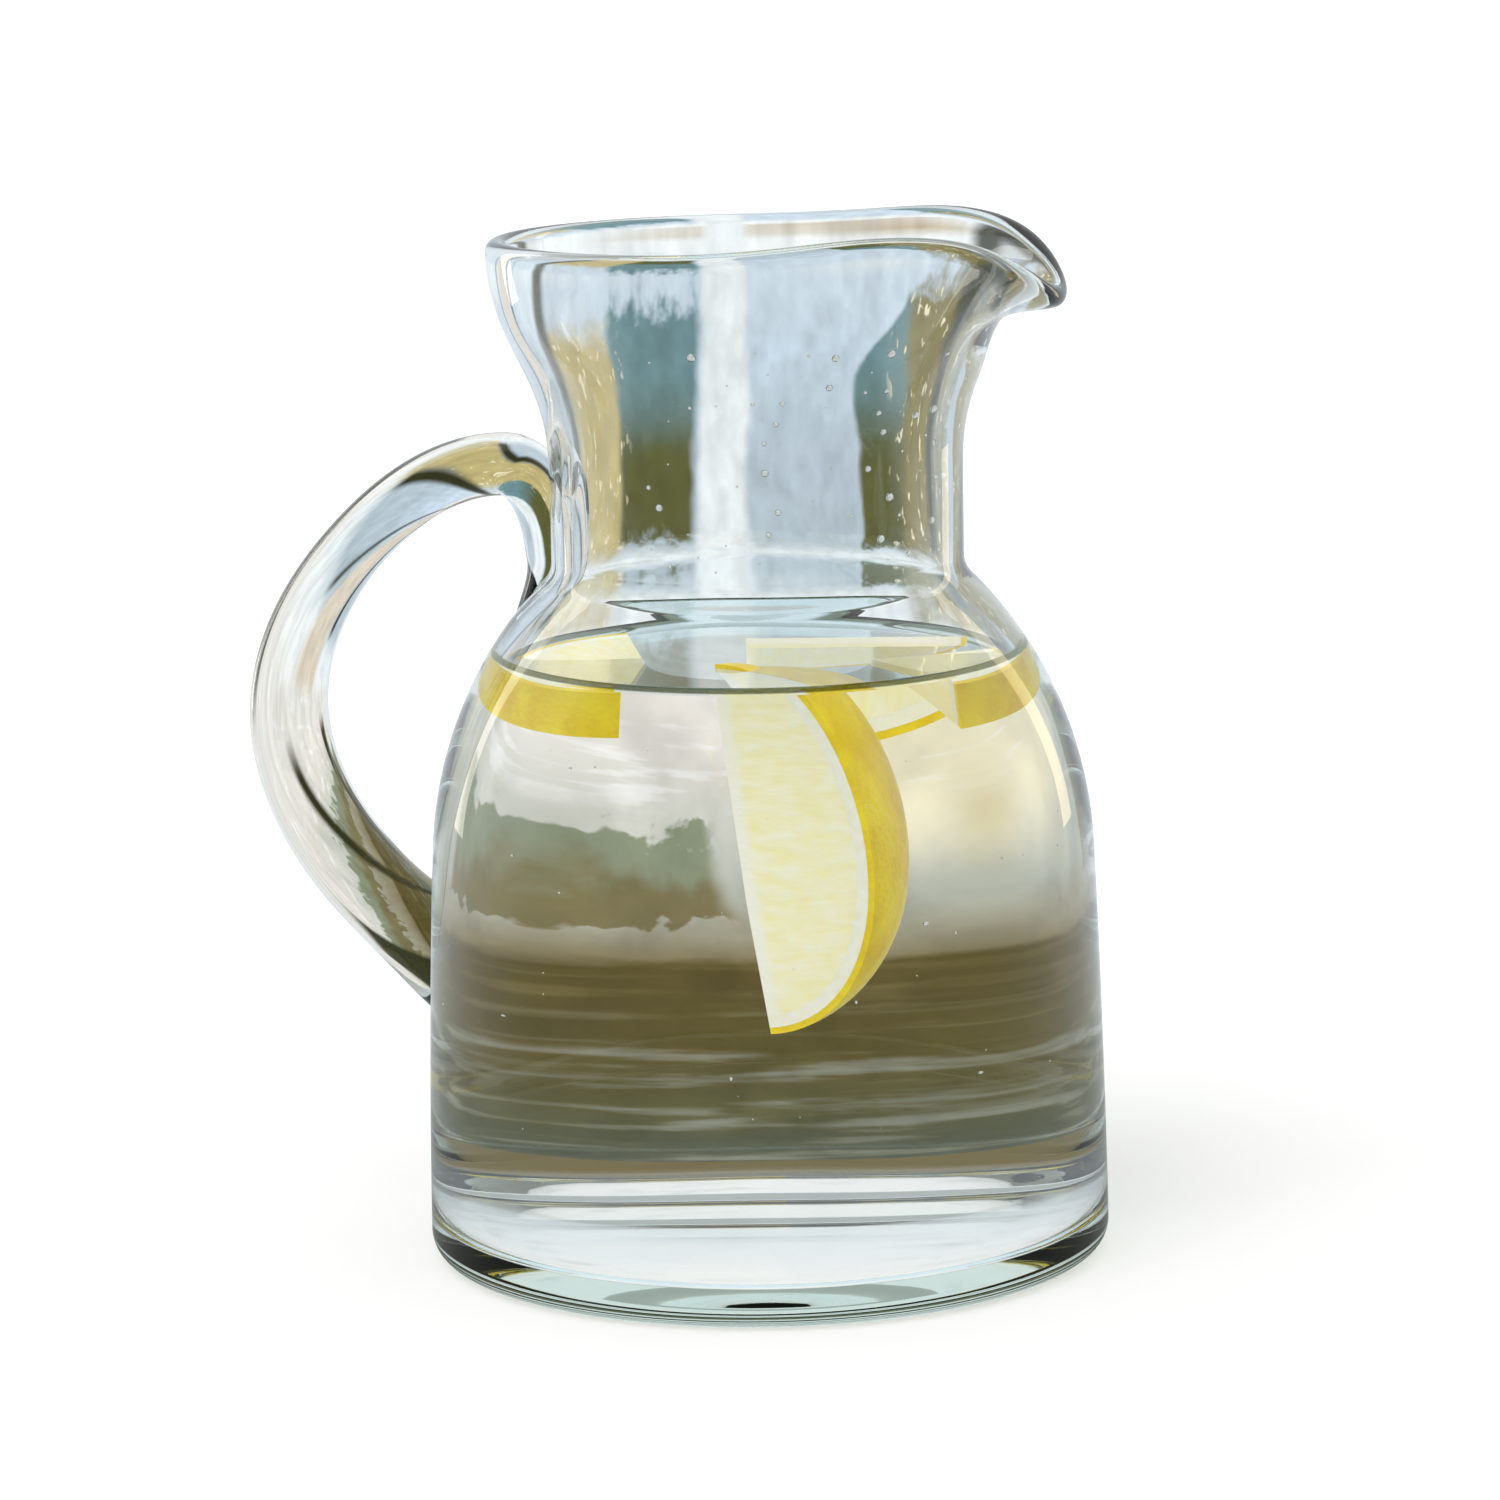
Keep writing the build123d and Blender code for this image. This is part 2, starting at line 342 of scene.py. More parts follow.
def mouthSpans(angle):
    # outer wall, lip and inner wall of the mouth at an angle from the spout
    dip = bell(angle, vessel["spoutWidth"])
    bend = math.radians(vessel["spoutLean"] * dip)
    half = vessel["lip"] / 2
    tip = np.array([
        rimRadius - half + vessel["spoutPull"] * bell(angle, vessel["spoutSpread"]),
        rimHeight - half + vessel["wingRise"] * bell(angle - vessel["wingAngle"], vessel["wingSpread"])
        - vessel["spoutDrop"] * dip,
    ])
    across = np.array([math.cos(bend), -math.sin(bend)])
    along = np.array([math.sin(bend), math.cos(bend)])
    starts, slopes = [], []
    for inset in (0, vessel["wall"]):
        rounding = vessel["flareRound"] + inset
        rise = math.asin(vessel["flareRise"] / rounding)
        starts.append((flareX - rounding * math.cos(rise), mouthHeight))
        slopes.append(np.array([math.sin(rise), math.cos(rise)]))
    count = vessel["points"]
    outer = smoothCurve([starts[0], (throatRadius, throatHeight), tip + across * half],
                        slopes[0], along, count["throat"])
    turn = np.linspace(0, math.pi, count["lip"])[:, None]
    lip = tip + half * (np.cos(turn) * across + np.sin(turn) * along)
    throat = (throatRadius - vessel["throatWall"], throatHeight)
    inner = smoothCurve([tip - across * half, throat, starts[1]], -along, -slopes[1], count["throat"])
    return outer, lip, inner


def wobbleAt(turn, z, phase):
    # from -1 to 1
    return sum(size * np.sin(number * turn + z / length + share * phase)
               for size, number, length, share in vessel["waves"])


outerSpans = wallSpans(0, 0, vessel["heelRound"], contactLevel)
innerSpans = wallSpans(vessel["wall"], vessel["floorThickness"], vessel["floorRound"], contactLevel)
spanOrder = ("flat", "corner", "side", "shoulderLow", "shoulderHigh", "hollow", "neck", "flare")


def joinSpans(spans, order):
    # one line of points, without the doubled ends
    return np.vstack([spans[order[0]]] + [spans[name][1:] for name in order[1:]])


outerLine = joinSpans(outerSpans, spanOrder)
innerLine = joinSpans(innerSpans, spanOrder)[::-1]
turns = np.linspace(0, 2 * math.pi, vessel["columns"], endpoint=False)


def placeRing(radius, z, turn):
    return np.column_stack([radius * np.cos(turn), radius * np.sin(turn), np.broadcast_to(z, radius.shape)])


def innerShift(turn, z):
    # how far the inner wall stands off its line
    return vessel["wobble"] * vessel["innerWobble"] * wobbleAt(turn, z, vessel["innerPhase"])


def outerShift(turn, z):
    # the outer wall only goes inward, so that the carafe keeps its size
    return vessel["wobble"] * (wobbleAt(turn, z, vessel["outerPhase"]) - 1)


def shifted(points, shift):
    # points of an outline with their radius changed
    return points + np.column_stack([shift, np.zeros(len(points))])


columnsOfPoints = []
for turn in turns:
    angle = abs((math.degrees(turn) + 180) % 360 - 180)
    outer, lip, inner = mouthSpans(angle)
    outside = np.vstack([outerLine, outer[1:]])
    inside = np.vstack([inner, innerLine[1:]])
    fadeOut = np.clip(outside[:, 0] / vessel["calm"], 0, 1)
    fadeIn = np.clip(inside[:, 0] / vessel["calm"], 0, 1)
    outside = shifted(outside, fadeOut * outerShift(turn, outside[:, 1]))
    inside = shifted(inside, fadeIn * innerShift(turn, inside[:, 1]))
    lipShift = np.linspace(outerShift(turn, lip[0, 1]), innerShift(turn, lip[-1, 1]), len(lip))[1:-1]
    columnsOfPoints.append(np.vstack([outside, shifted(lip[1:-1], lipShift), inside]))
rowCount = len(columnsOfPoints[0])
lines = np.array(columnsOfPoints)  # column, row, (radius, height)
radii, heights = lines[:, :, 0], lines[:, :, 1]
bodyPoints = np.stack([radii * np.cos(turns)[:, None], radii * np.sin(turns)[:, None], heights], axis=-1)
bodyPoints = bodyPoints.transpose(1, 0, 2).reshape(-1, 3)
bodyMesh = meshFrom("carafe_glass", bodyPoints, gridFaces(rowCount, vessel["columns"], True))
closeSeams(bodyMesh)
glass = addObject("carafe_glass", bodyMesh)
print("vessel", len(bodyMesh.polygons), "faces")

# Handle: a drawn rod from a tail on the shoulder over crest and grip to a foot on the body

handle = {
    "tailLength": 15.5,
    "tailBite": 4.0,
    "tailSlope": 0.45,
    "tailProud": 6.4,
    "tailWidth": 18.0,
    "tailTip": 5.0,
    "crestOut": 10.5,
    "crestRise": 17.9,
    "bendOut": 14.1,
    "bendDrop": 16.2,
    "gripOut": 29.8,
    "gripDrop": 51.1,
    "rootHeight": 58.5,
    "rootSize": 26.0,
    "rootSlope": 0.5,
    "rootBite": 8.0,
    "rodTop": 12.6,
    "rodGrip": 16.0,
    "rodLow": 17.6,
    "rodFlat": 1.12,  # the rod's width over its thickness
    "columns": 56,
    "points": (20, 24, 60, 50),  # along tail, crest, upper and lower run
    "smoothing": 40,  # how often the sizes between stations are smoothed
    "seat": 1.6,  # how deep the handle's ends reach into the wall
    "cutColumns": 160,
}


def buildHandle():
    top, flat = handle["rodTop"], handle["rodFlat"]
    tailX = -(vessel["neckRadius"] + handle["tailProud"] - top / 2)
    tailEnd = neckFoot - handle["tailLength"]
    crest = (-(vessel["neckRadius"] + handle["crestOut"]), neckFoot + handle["crestRise"])
    bend = (-(vessel["bodyRadius"] + handle["bendOut"]), crest[1] - handle["bendDrop"])
    grip = (-(vessel["bodyRadius"] + handle["gripOut"]), crest[1] - handle["gripDrop"])
    root = (-(sideAt(handle["rootHeight"], 0) - handle["rootBite"]),
            handle["rootHeight"] - handle["rootBite"] * handle["rootSlope"])
    tailRun = smoothCurve([(-(shoulderAt(tailEnd, 0) - handle["tailBite"]), tailEnd), (tailX, neckFoot)],
                          (handle["tailSlope"], 1), (0, 1), handle["points"][0])
    quarter = np.linspace(0, math.pi / 2, handle["points"][1])
    turnOut = np.column_stack([crest[0] + (tailX - crest[0]) * np.cos(quarter),
                               neckFoot + handle["crestRise"] * np.sin(quarter)])
    upperRun = smoothCurve([crest, bend, grip], (-1, 0), (0, -1), handle["points"][2])
    lowerRun = smoothCurve([grip, root], (0, -1), (1, -handle["rootSlope"]), handle["points"][3])
    runs = (tailRun, turnOut, upperRun, lowerRun)
    # run, share of its length, thickness and width there
    stations = (
        (0, 0.0, handle["tailTip"], 2 * handle["tailTip"]),
        (0, 0.5, (handle["tailTip"] + top) / 2, handle["tailTip"] + handle["tailWidth"] / 2),
        (0, 1.0, top, handle["tailWidth"]),
        (1, 0.5, top, handle["tailWidth"]),
        (1, 1.0, top, handle["tailWidth"]),
        (2, 0.25, top, top * flat),
        (2, 0.5, top, top * flat),
        (2, 1.0, handle["rodGrip"], handle["rodGrip"] * flat),
        (3, 0.5, handle["rodLow"], handle["rodLow"] * flat),
        (3, 0.75, handle["rodLow"], handle["rodLow"] * flat),
        (3, 1.0, handle["rootSize"], handle["rootSize"]),
    )
    line = np.vstack([tailRun] + [run[1:] for run in runs[1:]])
    along = np.concatenate([[0], np.cumsum(np.linalg.norm(np.diff(line, axis=0), axis=1))])
    starts = np.cumsum([0] + [len(run) - 1 for run in runs])
    places = [along[starts[run]] + share * (along[starts[run + 1]] - along[starts[run]])
              for run, share, _, _ in stations]
    # sizes follow the stations along a curve that never overshoots them
    sizes = []
    for which in (2, 3):
        values = [station[which] for station in stations]
        fine = np.interp(along, places, values)
        for _ in range(handle["smoothing"]):
            fine[1:-1] = (fine[:-2] + 2 * fine[1:-1] + fine[2:]) / 4
        sizes.append(fine)
    slope = np.gradient(line, along, axis=0)
    slope /= np.linalg.norm(slope, axis=1)[:, None]
    normal = np.column_stack([-slope[:, 1], slope[:, 0]])
    ring = np.linspace(0, 2 * math.pi, handle["columns"], endpoint=False)
    points = []
    for place, up, thick, wide in zip(line, normal, *sizes):
        offset = np.sin(ring)[:, None] * up[None, :] * thick / 2
        points.append(np.column_stack([
            place[0] + offset[:, 0], np.cos(ring) * wide / 2, place[1] + offset[:, 1]]))
    points = np.vstack(points)
    faces = gridFaces(len(line), handle["columns"], True)
    faces.append(tuple(range(handle["columns"])))
    faces.append(tuple(range(len(points) - handle["columns"], len(points))))
    mesh = meshFrom("handle_rod", points, faces)
    closeSeams(mesh)
    return addObject("handle_rod", mesh)


def cutter():
    # the vessel's outside as a full body, a little inside its surface
    line = joinSpans(wallSpans(handle["seat"], handle["seat"], vessel["heelRound"], contactLevel), spanOrder)
    line = np.vstack([line, (0, line[-1, 1])])
    count = handle["cutColumns"]
    turn = np.linspace(0, 2 * math.pi, count, endpoint=False)
    points = np.vstack([placeRing(np.full(count, r), z, turn) for r, z in line])
    mesh = meshFrom("cutter", points, gridFaces(len(line), count, True))
    closeSeams(mesh)
    return addObject("cutter", mesh)


def combine(obj, other, operation):
    # the two solids joined or cut by an exact boolean, and the second one removed
    modifier = obj.modifiers.new("join", "BOOLEAN")
    modifier.operation = operation
    modifier.solver = "EXACT"
    modifier.object = other
    depsgraph = bpy.context.evaluated_depsgraph_get()
    mesh = bpy.data.meshes.new_from_object(obj.evaluated_get(depsgraph))
    obj.modifiers.clear()
    obj.data = mesh
    bpy.data.objects.remove(other)


rod = buildHandle()
combine(rod, cutter(), "DIFFERENCE")
combine(glass, rod, "UNION")
print("handle joined,", len(glass.data.polygons), "faces")


def markWetted(mesh):
    # 1 on the faces of the inner wall that the water touches
    count = len(mesh.polygons)
    centres = np.empty(count * 3)
    mesh.polygons.foreach_get("center", centres)
    centres = centres.reshape(-1, 3) / mm
    radius = np.hypot(centres[:, 0], centres[:, 1])
    inner = innerLine[::-1]
    order = np.argsort(inner[:, 1], kind="stable")
    limit = np.interp(centres[:, 2], inner[order, 1], inner[order, 0])
    lowest = vessel["floorThickness"] - 1
    wet = ((centres[:, 2] < contactLevel) & (centres[:, 2] > lowest)
           & (radius < limit + vessel["wall"] / 2))
    attribute = mesh.attributes.new("wetted", "FLOAT", "FACE")
    attribute.data.foreach_set("value", wet.astype(float))
    print("wetted", int(wet.sum()), "of", count)


markWetted(glass.data)
glass.data.shade_smooth()
glass.data.set_sharp_from_angle(angle=math.radians(vessel["sharp"]))

# Water: a closed body whose sides lie in the glass

def buildWater():
    wall = joinSpans(innerSpans, ("flat", "corner", "side", "shoulderLow"))
    flat = len(innerSpans["flat"])
    edge = wall[-1, 0]
    start, count = water["farRings"]
    inward = np.concatenate([np.geomspace(*water["nearRings"]), np.linspace(start, edge, count)])
    climb = water["meniscus"] * np.exp(-inward / water["meniscusReach"])
    surface = np.column_stack([edge - inward, waterLevel + climb])
    rows = []
    for index, (r, z) in enumerate(wall):
        out = water["overlap"] if index >= flat - 1 else 0
        down = water["overlap"] if index < flat + water["sunkRows"] else 0
        shift = innerShift(turns, z) * min(r / vessel["calm"], 1) + out
        rows.append(placeRing(r + shift, z - down, turns))
    topShift = innerShift(turns, contactLevel)
    rows.append(placeRing(edge + topShift + water["overlap"], contactLevel + 0.01, turns))
    for r, z in surface:
        rows.append(placeRing(np.maximum(r + topShift * min(r / vessel["calm"], 1), 0), z, turns))
    points = np.vstack(rows)
    mesh = meshFrom("water", points, gridFaces(len(rows), len(turns), True))
    closeSeams(mesh)
    return addObject("water_skin", mesh)


waterBody = buildWater()
print("water", len(waterBody.data.polygons), "faces")

# Lemon pieces, each in its three layers

lemon = {
    "radius": 27.0,
    "halfLength": 36.0,
    "zest": 1.3,
    "pith": 2.4,
    "slice": 9.0,
    "sliceClear": 0.4,
    "tipClear": 4.6,
    "stump": 9.0,
    "afloat": 1.0,
    "sink": 1.5,
    "tip": 6.0,  # how far the near side of a slice dips, in degrees
    # where along the wall the two slices and the far wedge's tip lie, counter-clockwise from the right
    "leftAngle": 193.0,
    "rightAngle": 343.5,
    "farAngle": 22.0,
    "viewTurn": 13.0,
    "bowPoints": 40,
    "fewestSteps": 12,  # of a piece's sweep, else one for each degree
    "placeName": "lemonPlace",  # attribute with a point's place on its lemon, in millimetres
    "sharp": 40.0,
}
lemonTop = waterLevel + lemon["afloat"]


def asSeen(right, away, up):
    # a place or direction as the viewer sees it who stands viewTurn off the near side
    turn = math.radians(lemon["viewTurn"])
    return np.array([right * math.cos(turn) - away * math.sin(turn),
                     right * math.sin(turn) + away * math.cos(turn), up])


def nearWall(clear, degrees):
    # right and away of a place that is clear of the inner wall
    reach = shoulderAt(lemonTop, vessel["wall"]) - clear
    return reach * math.cos(math.radians(degrees)), reach * math.sin(math.radians(degrees))


def layerOutline(shape, keep, inner, outer):
    # closed outline of a layer between two depths under the skin, as radius and height
    radius, half = lemon["radius"], lemon["halfLength"]
    if shape == "slice":
        low = 0 if inner is None else radius - inner
        high = radius - outer
        return [(low, -lemon["slice"]), (high, -lemon["slice"]), (high, 0), (low, 0)]

    def bow(depth):
        # from the top tip down to the cut or to the lower tip
        a, b = radius - depth, half - depth
        end = math.acos(max(-keep / b, -1))
        turn = np.linspace(0, end, lemon["bowPoints"])
        return [(a * math.sin(t), b * math.cos(t)) for t in turn]

    if inner is None:
        line = bow(outer)
        if keep < half - outer:
            line.append((0, line[-1][1]))
        return line
    return bow(outer) + bow(inner)[::-1]


def lemonLayer(name, shape, place, start, axis, sweep, keep, inner, outer):
    # the outline swept about the lemon's axis, from the start direction on
    frameX = start - axis * (start @ axis)
    frameX /= np.linalg.norm(frameX)
    frameY = np.cross(axis, frameX)
    outline = layerOutline(shape, keep, inner, outer)
    steps = max(sweep, lemon["fewestSteps"])
    shapeMesh = bmesh.new()
    placeLayer = shapeMesh.verts.layers.float_vector.new(lemon["placeName"])
    rings = []
    for step in range(steps + 1):
        turn = math.radians(sweep * step / steps)
        ring = []
        for r, z in outline:
            local = (r * math.cos(turn), r * math.sin(turn), z)
            world = place + frameX * local[0] + frameY * local[1] + axis * local[2]
            vertex = shapeMesh.verts.new(world * mm)
            vertex[placeLayer] = Vector(local)
            ring.append(vertex)
        rings.append(ring)
    size = len(outline)
    for a, b in zip(rings, rings[1:]):
        for i in range(size):
            shapeMesh.faces.new((a[i], a[(i + 1) % size], b[(i + 1) % size], b[i]))
    shapeMesh.faces.new(rings[0][::-1])
    shapeMesh.faces.new(rings[-1])
    bmesh.ops.remove_doubles(shapeMesh, verts=shapeMesh.verts, dist=0.002 * mm)
    ends = [face for face in shapeMesh.faces if len(face.verts) > 4]
    bmesh.ops.triangulate(shapeMesh, faces=ends)
    bmesh.ops.recalc_face_normals(shapeMesh, faces=shapeMesh.faces)
    mesh = bpy.data.meshes.new(name)
    shapeMesh.to_mesh(mesh)
    shapeMesh.free()
    mesh.shade_smooth()
    mesh.set_sharp_from_angle(angle=math.radians(lemon["sharp"]))
    return addObject(name, mesh)


def unit(vector):
    return vector / np.linalg.norm(vector)


def tipped(degrees):
    # axis of a slice whose near side dips
    return (0, -math.sin(math.radians(degrees)), math.cos(math.radians(degrees)))


leftPlace = nearWall(lemon["radius"] + lemon["sliceClear"], lemon["leftAngle"])
rightPlace = nearWall(lemon["radius"] + lemon["sliceClear"], lemon["rightAngle"])
tipPlace = nearWall(lemon["tipClear"], lemon["farAngle"])
sliceHeight = lemonTop - lemon["sink"]
lemonPieces = {
    # shape, place, start of the sweep, axis, sweep in degrees, and what is left below the widest part
    "front": ("wedge", (-4, -15, lemonTop - lemon["halfLength"]),
              (0.82, -0.57, 0.11), (-0.13, 0, 0.99), 50, lemon["halfLength"]),
    "back": ("wedge", (tipPlace[0] - lemon["halfLength"], tipPlace[1], lemonTop),
             (0, -0.26, -0.97), (1, 0, 0), 45, lemon["stump"]),
    "left": ("slice", (*leftPlace, sliceHeight), (-0.17, 0.98, 0), tipped(lemon["tip"]), 165, 0),
    "right": ("slice", (*rightPlace, sliceHeight), (0.5, -0.87, 0), tipped(lemon["tip"]), 80, 0),
}
lemonLayers = (
    ("zest", lemon["zest"], 0.0),
    ("pith", lemon["zest"] + lemon["pith"], lemon["zest"]),
    ("flesh", None, lemon["zest"] + lemon["pith"]),
)
lemonObjects = {"zest": [], "pith": [], "flesh": []}
for pieceName, (shape, place, start, axis, sweep, keep) in lemonPieces.items():
    for layer, inner, outer in lemonLayers:
        obj = lemonLayer(f"lemon_{pieceName}_{layer}_skin", shape, asSeen(*place), asSeen(*start),
                         unit(asSeen(*axis)), sweep, keep, inner, outer)
        lemonObjects[layer].append((obj, f"lemon_{pieceName}_{layer}"))
print("lemon pieces done")

# Materials

glassLook = {
    "ior": 1.52,
    "bodyTint": (0.72, 0.86, 0.76, 1),
    "density": 7.0,  # per metre
    "shadow": (0.93, 0.95, 0.93, 1),  # what each glass surface lets through to its shadow
}
waterLook = {
    "ior": 1.333,
    "shadow": (0.97, 0.98, 0.98, 1),
    # colour of the water's climbing edge: painted shade, a thin dark line
    "rim": (0.05, 0.06, 0.03, 1),
    "rimFrom": 0.2,  # shares of the water's climb up the wall between which its painted dark line sets in
    "rimTo": 0.4,
    "sunk": 0.0002,  # faces lower than this under the water's level, or steeper, lie on the glass
    "steep": 0.1,
}
lemonLook = {
    "scatter": 0.1,
    "scatterRadius": (1.0, 0.7, 0.2),
    "scatterScale": 0.002,
    # for each layer: scale of its mottle, where that goes from dark to pale, the two colours, roughness
    "peel": (0.12, (0.35, 0.65), ((0.84, 0.58, 0.01, 1), (0.95, 0.75, 0.02, 1)), 0.35),
    "pith": (0.5, (0.3, 0.7), ((0.93, 0.90, 0.68, 1), (0.97, 0.96, 0.86, 1)), 0.6),
    "flesh": (1.0, (0.32, 0.68), ((0.98, 0.91, 0.50, 1), (0.99, 0.97, 0.74, 1)), 0.28),
    "pores": 0.9,
    "cells": (9.0, 0.16, 0.55),  # fineness of the juice cells round, outward and along
    "segments": 5.0,  # half the number of skins between segments
    "segmentTurn": 1.2,
    "skinWidth": (0.03, 0.16),
    "coreWidth": (1.2, 3.5),
    "skin": (0.97, 0.95, 0.82, 1),
    # strength and depth of the relief
    "peelRelief": (0.5, 0.0003),
    "pithRelief": (0.2, 0.0003),
    "fleshRelief": (0.35, 0.0005),
}


def letLampsThrough(tree, surface, output, colour):
    # rays to the lamps pass straight through, so that the glass has a soft even shadow
    path = addNode(tree, "ShaderNodeLightPath")
    clear = addNode(tree, "ShaderNodeBsdfTransparent", Color=colour)
    mix = mixShader(tree, path.outputs["Is Shadow Ray"], surface, clear.outputs["BSDF"])
    tree.links.new(mix, output.inputs["Surface"])


def clearShader(tree, ior):
    shader = addNode(tree, "ShaderNodeBsdfPrincipled", IOR=ior, Roughness=0.0)
    shader.inputs["Base Color"].default_value = (1, 1, 1, 1)
    shader.inputs["Transmission Weight"].default_value = 1
    return shader


def makeGlass():
    # where the water touches the glass, light bends less
    material, tree, output = newMaterial("clear_glass")
    dry = clearShader(tree, glassLook["ior"])
    wet = clearShader(tree, glassLook["ior"] / waterLook["ior"])
    wetted = addNode(tree, "ShaderNodeAttribute", attribute_name="wetted")
    mix = mixShader(tree, wetted.outputs["Fac"], dry.outputs["BSDF"], wet.outputs["BSDF"])
    letLampsThrough(tree, mix, output, glassLook["shadow"])
    body = addNode(tree, "ShaderNodeVolumeAbsorption", Color=glassLook["bodyTint"],
                   Density=glassLook["density"])
    tree.links.new(body.outputs["Volume"], output.inputs["Volume"])
    return material


def makeWaterSurface():
    # the water creeps up the wall, and a painted dark colour on its climbing edge draws a thin line of
    # painted shade
    material, tree, output = newMaterial("water_surface")
    shader = clearShader(tree, waterLook["ior"])
    place = addNode(tree, "ShaderNodeTexCoord")
    parts = addNode(tree, "ShaderNodeSeparateXYZ")
    tree.links.new(place.outputs["Object"], parts.inputs["Vector"])
    rim = rampUp(tree, parts.outputs["Z"], (waterLevel + waterLook["rimFrom"] * water["meniscus"]) * mm,
                 (waterLevel + waterLook["rimTo"] * water["meniscus"]) * mm)
    # painted shade: the climbing edge is coloured dark
    tree.links.new(mixColour(tree, rim, (1, 1, 1, 1), waterLook["rim"]), shader.inputs["Base Color"])
    letLampsThrough(tree, shader.outputs["BSDF"], output, waterLook["shadow"])
    return material


def makeWaterSide():
    # the glass bends the light for the water that touches it
    material, tree, output = newMaterial("water_side")
    clear = addNode(tree, "ShaderNodeBsdfTransparent")
    tree.links.new(clear.outputs["BSDF"], output.inputs["Surface"])
    return material


def lemonShader(tree, output, roughness, colour):
    shader = addNode(tree, "ShaderNodeBsdfPrincipled", Roughness=roughness)
    shader.inputs["Subsurface Weight"].default_value = lemonLook["scatter"]
    shader.inputs["Subsurface Radius"].default_value = lemonLook["scatterRadius"]
    shader.inputs["Subsurface Scale"].default_value = lemonLook["scatterScale"]
    tree.links.new(colour, shader.inputs["Base Color"])
    tree.links.new(shader.outputs["BSDF"], output.inputs["Surface"])
    return shader


def addRelief(tree, shader, height, strength, distance):
    relief = addNode(tree, "ShaderNodeBump", Strength=strength, Distance=distance)
    tree.links.new(height, relief.inputs["Height"])
    tree.links.new(relief.outputs["Normal"], shader.inputs["Normal"])


def colourRamp(tree, value, positions, colours):
    node = addNode(tree, "ShaderNodeValToRGB")
    for element, position, colour in zip(node.color_ramp.elements, positions, colours):
        element.position = position
        element.color = colour
    tree.links.new(value, node.inputs["Fac"])
    return node.outputs["Color"]


def startLayer(name):
    material, tree, output = newMaterial(name)
    place = addNode(tree, "ShaderNodeAttribute", attribute_name=lemon["placeName"])
    return material, tree, output, place.outputs["Vector"]


def addMottle(tree, where, scale, detail):
    noise = addNode(tree, "ShaderNodeTexNoise", Scale=scale, Detail=detail)
    tree.links.new(where, noise.inputs["Vector"])
    return noise.outputs["Fac"]


def makePeel():
    # yellow peel with oil pores
    material, tree, output, place = startLayer("lemon_peel")
    scale, positions, colours, roughness = lemonLook["peel"]
    colour = colourRamp(tree, addMottle(tree, place, scale, 4), positions, colours)
    shader = lemonShader(tree, output, roughness, colour)
    pores = addNode(tree, "ShaderNodeTexVoronoi", Scale=lemonLook["pores"])
    tree.links.new(place, pores.inputs["Vector"])
    addRelief(tree, shader, pores.outputs["Distance"], *lemonLook["peelRelief"])
    return material


def makePith():
    material, tree, output, place = startLayer("lemon_pith")
    scale, positions, colours, roughness = lemonLook["pith"]
    mottle = addMottle(tree, place, scale, 4)
    shader = lemonShader(tree, output, roughness, colourRamp(tree, mottle, positions, colours))
    addRelief(tree, shader, mottle, *lemonLook["pithRelief"])
    return material


def makeFlesh():
    # juice cells drawn out from the core to the pith, and pale skins between the segments
    material, tree, output, place = startLayer("lemon_flesh")
    scale, positions, colours, roughness = lemonLook["flesh"]
    parts = addNode(tree, "ShaderNodeSeparateXYZ")
    tree.links.new(place, parts.inputs["Vector"])
    x, y, z = parts.outputs
    turn = calculate(tree, "ARCTAN2", y, x)
    squares = calculate(tree, "ADD", calculate(tree, "POWER", x, 2.0), calculate(tree, "POWER", y, 2.0))
    radius = calculate(tree, "POWER", squares, 0.5)
    cell = addNode(tree, "ShaderNodeCombineXYZ")
    for value, fineness, socket in zip((turn, radius, z), lemonLook["cells"], cell.inputs):
        tree.links.new(multiply(tree, value, fineness), socket)
    juice = addMottle(tree, cell.outputs["Vector"], scale, 3)
    colour = colourRamp(tree, juice, positions, colours)
    wave = calculate(tree, "MULTIPLY_ADD", turn, lemonLook["segments"], lemonLook["segmentTurn"])
    skins = calculate(tree, "ABSOLUTE", calculate(tree, "SINE", wave))
    skin = invert(tree, rampUp(tree, skins, *lemonLook["skinWidth"]))
    core = invert(tree, rampUp(tree, radius, *lemonLook["coreWidth"]))
    colour = mixColour(tree, maximum(tree, skin, core), colour, lemonLook["skin"])
    shader = lemonShader(tree, output, roughness, colour)
    addRelief(tree, shader, juice, *lemonLook["fleshRelief"])
    return material


def onGlass(face):
    # whether a face of the water is its side or bottom and not its surface
    return face.center.z < waterLevel * mm - waterLook["sunk"] or face.normal.z < waterLook["steep"]


glassMaterial = makeGlass()
glass.data.materials.clear()
glass.data.materials.append(glassMaterial)
waterBody.data.materials.append(makeWaterSurface())
waterBody.data.materials.append(makeWaterSide())
sideSlots = np.array([int(onGlass(face)) for face in waterBody.data.polygons], dtype=np.int32)
waterBody.data.polygons.foreach_set("material_index", sideSlots)
lemonLooks = {"zest": makePeel(), "pith": makePith(), "flesh": makeFlesh()}
for layer, objects in lemonObjects.items():
    for obj, node in objects:
        obj.data.materials.append(lemonLooks[layer])
print("materials done")

# Drops on the neck's inner wall and small bubbles in the water

drops = {
    "name": "neck_drops",
    "lowest": neckFoot + 2,
    "highest": mouthHeight + 12,
    "from": -110.0,
    "to": 25.0,
    "density": 34000.0,  # per square metre, before the smallest distance
    "apart": 0.0042,
    "small": 0.00020,  # radius
    "large": 0.0010,
    "flat": 0.55,  # height of a drop over its radius
    "inset": 0.15,  # how far in from the wall the middles lie
    "seed": 5,
}
bubbles = {
    "name": "water_bubbles",
    "lowest": 12.0,
    "highest": 112.0,
    "from": -180.0,
    "to": 180.0,
    "density": 2600.0,
    "apart": 0.006,
    "small": 0.00010,
    "large": 0.00034,
    "flat": 1.0,
    "inset": 1.2,
    "seed": 11,
}


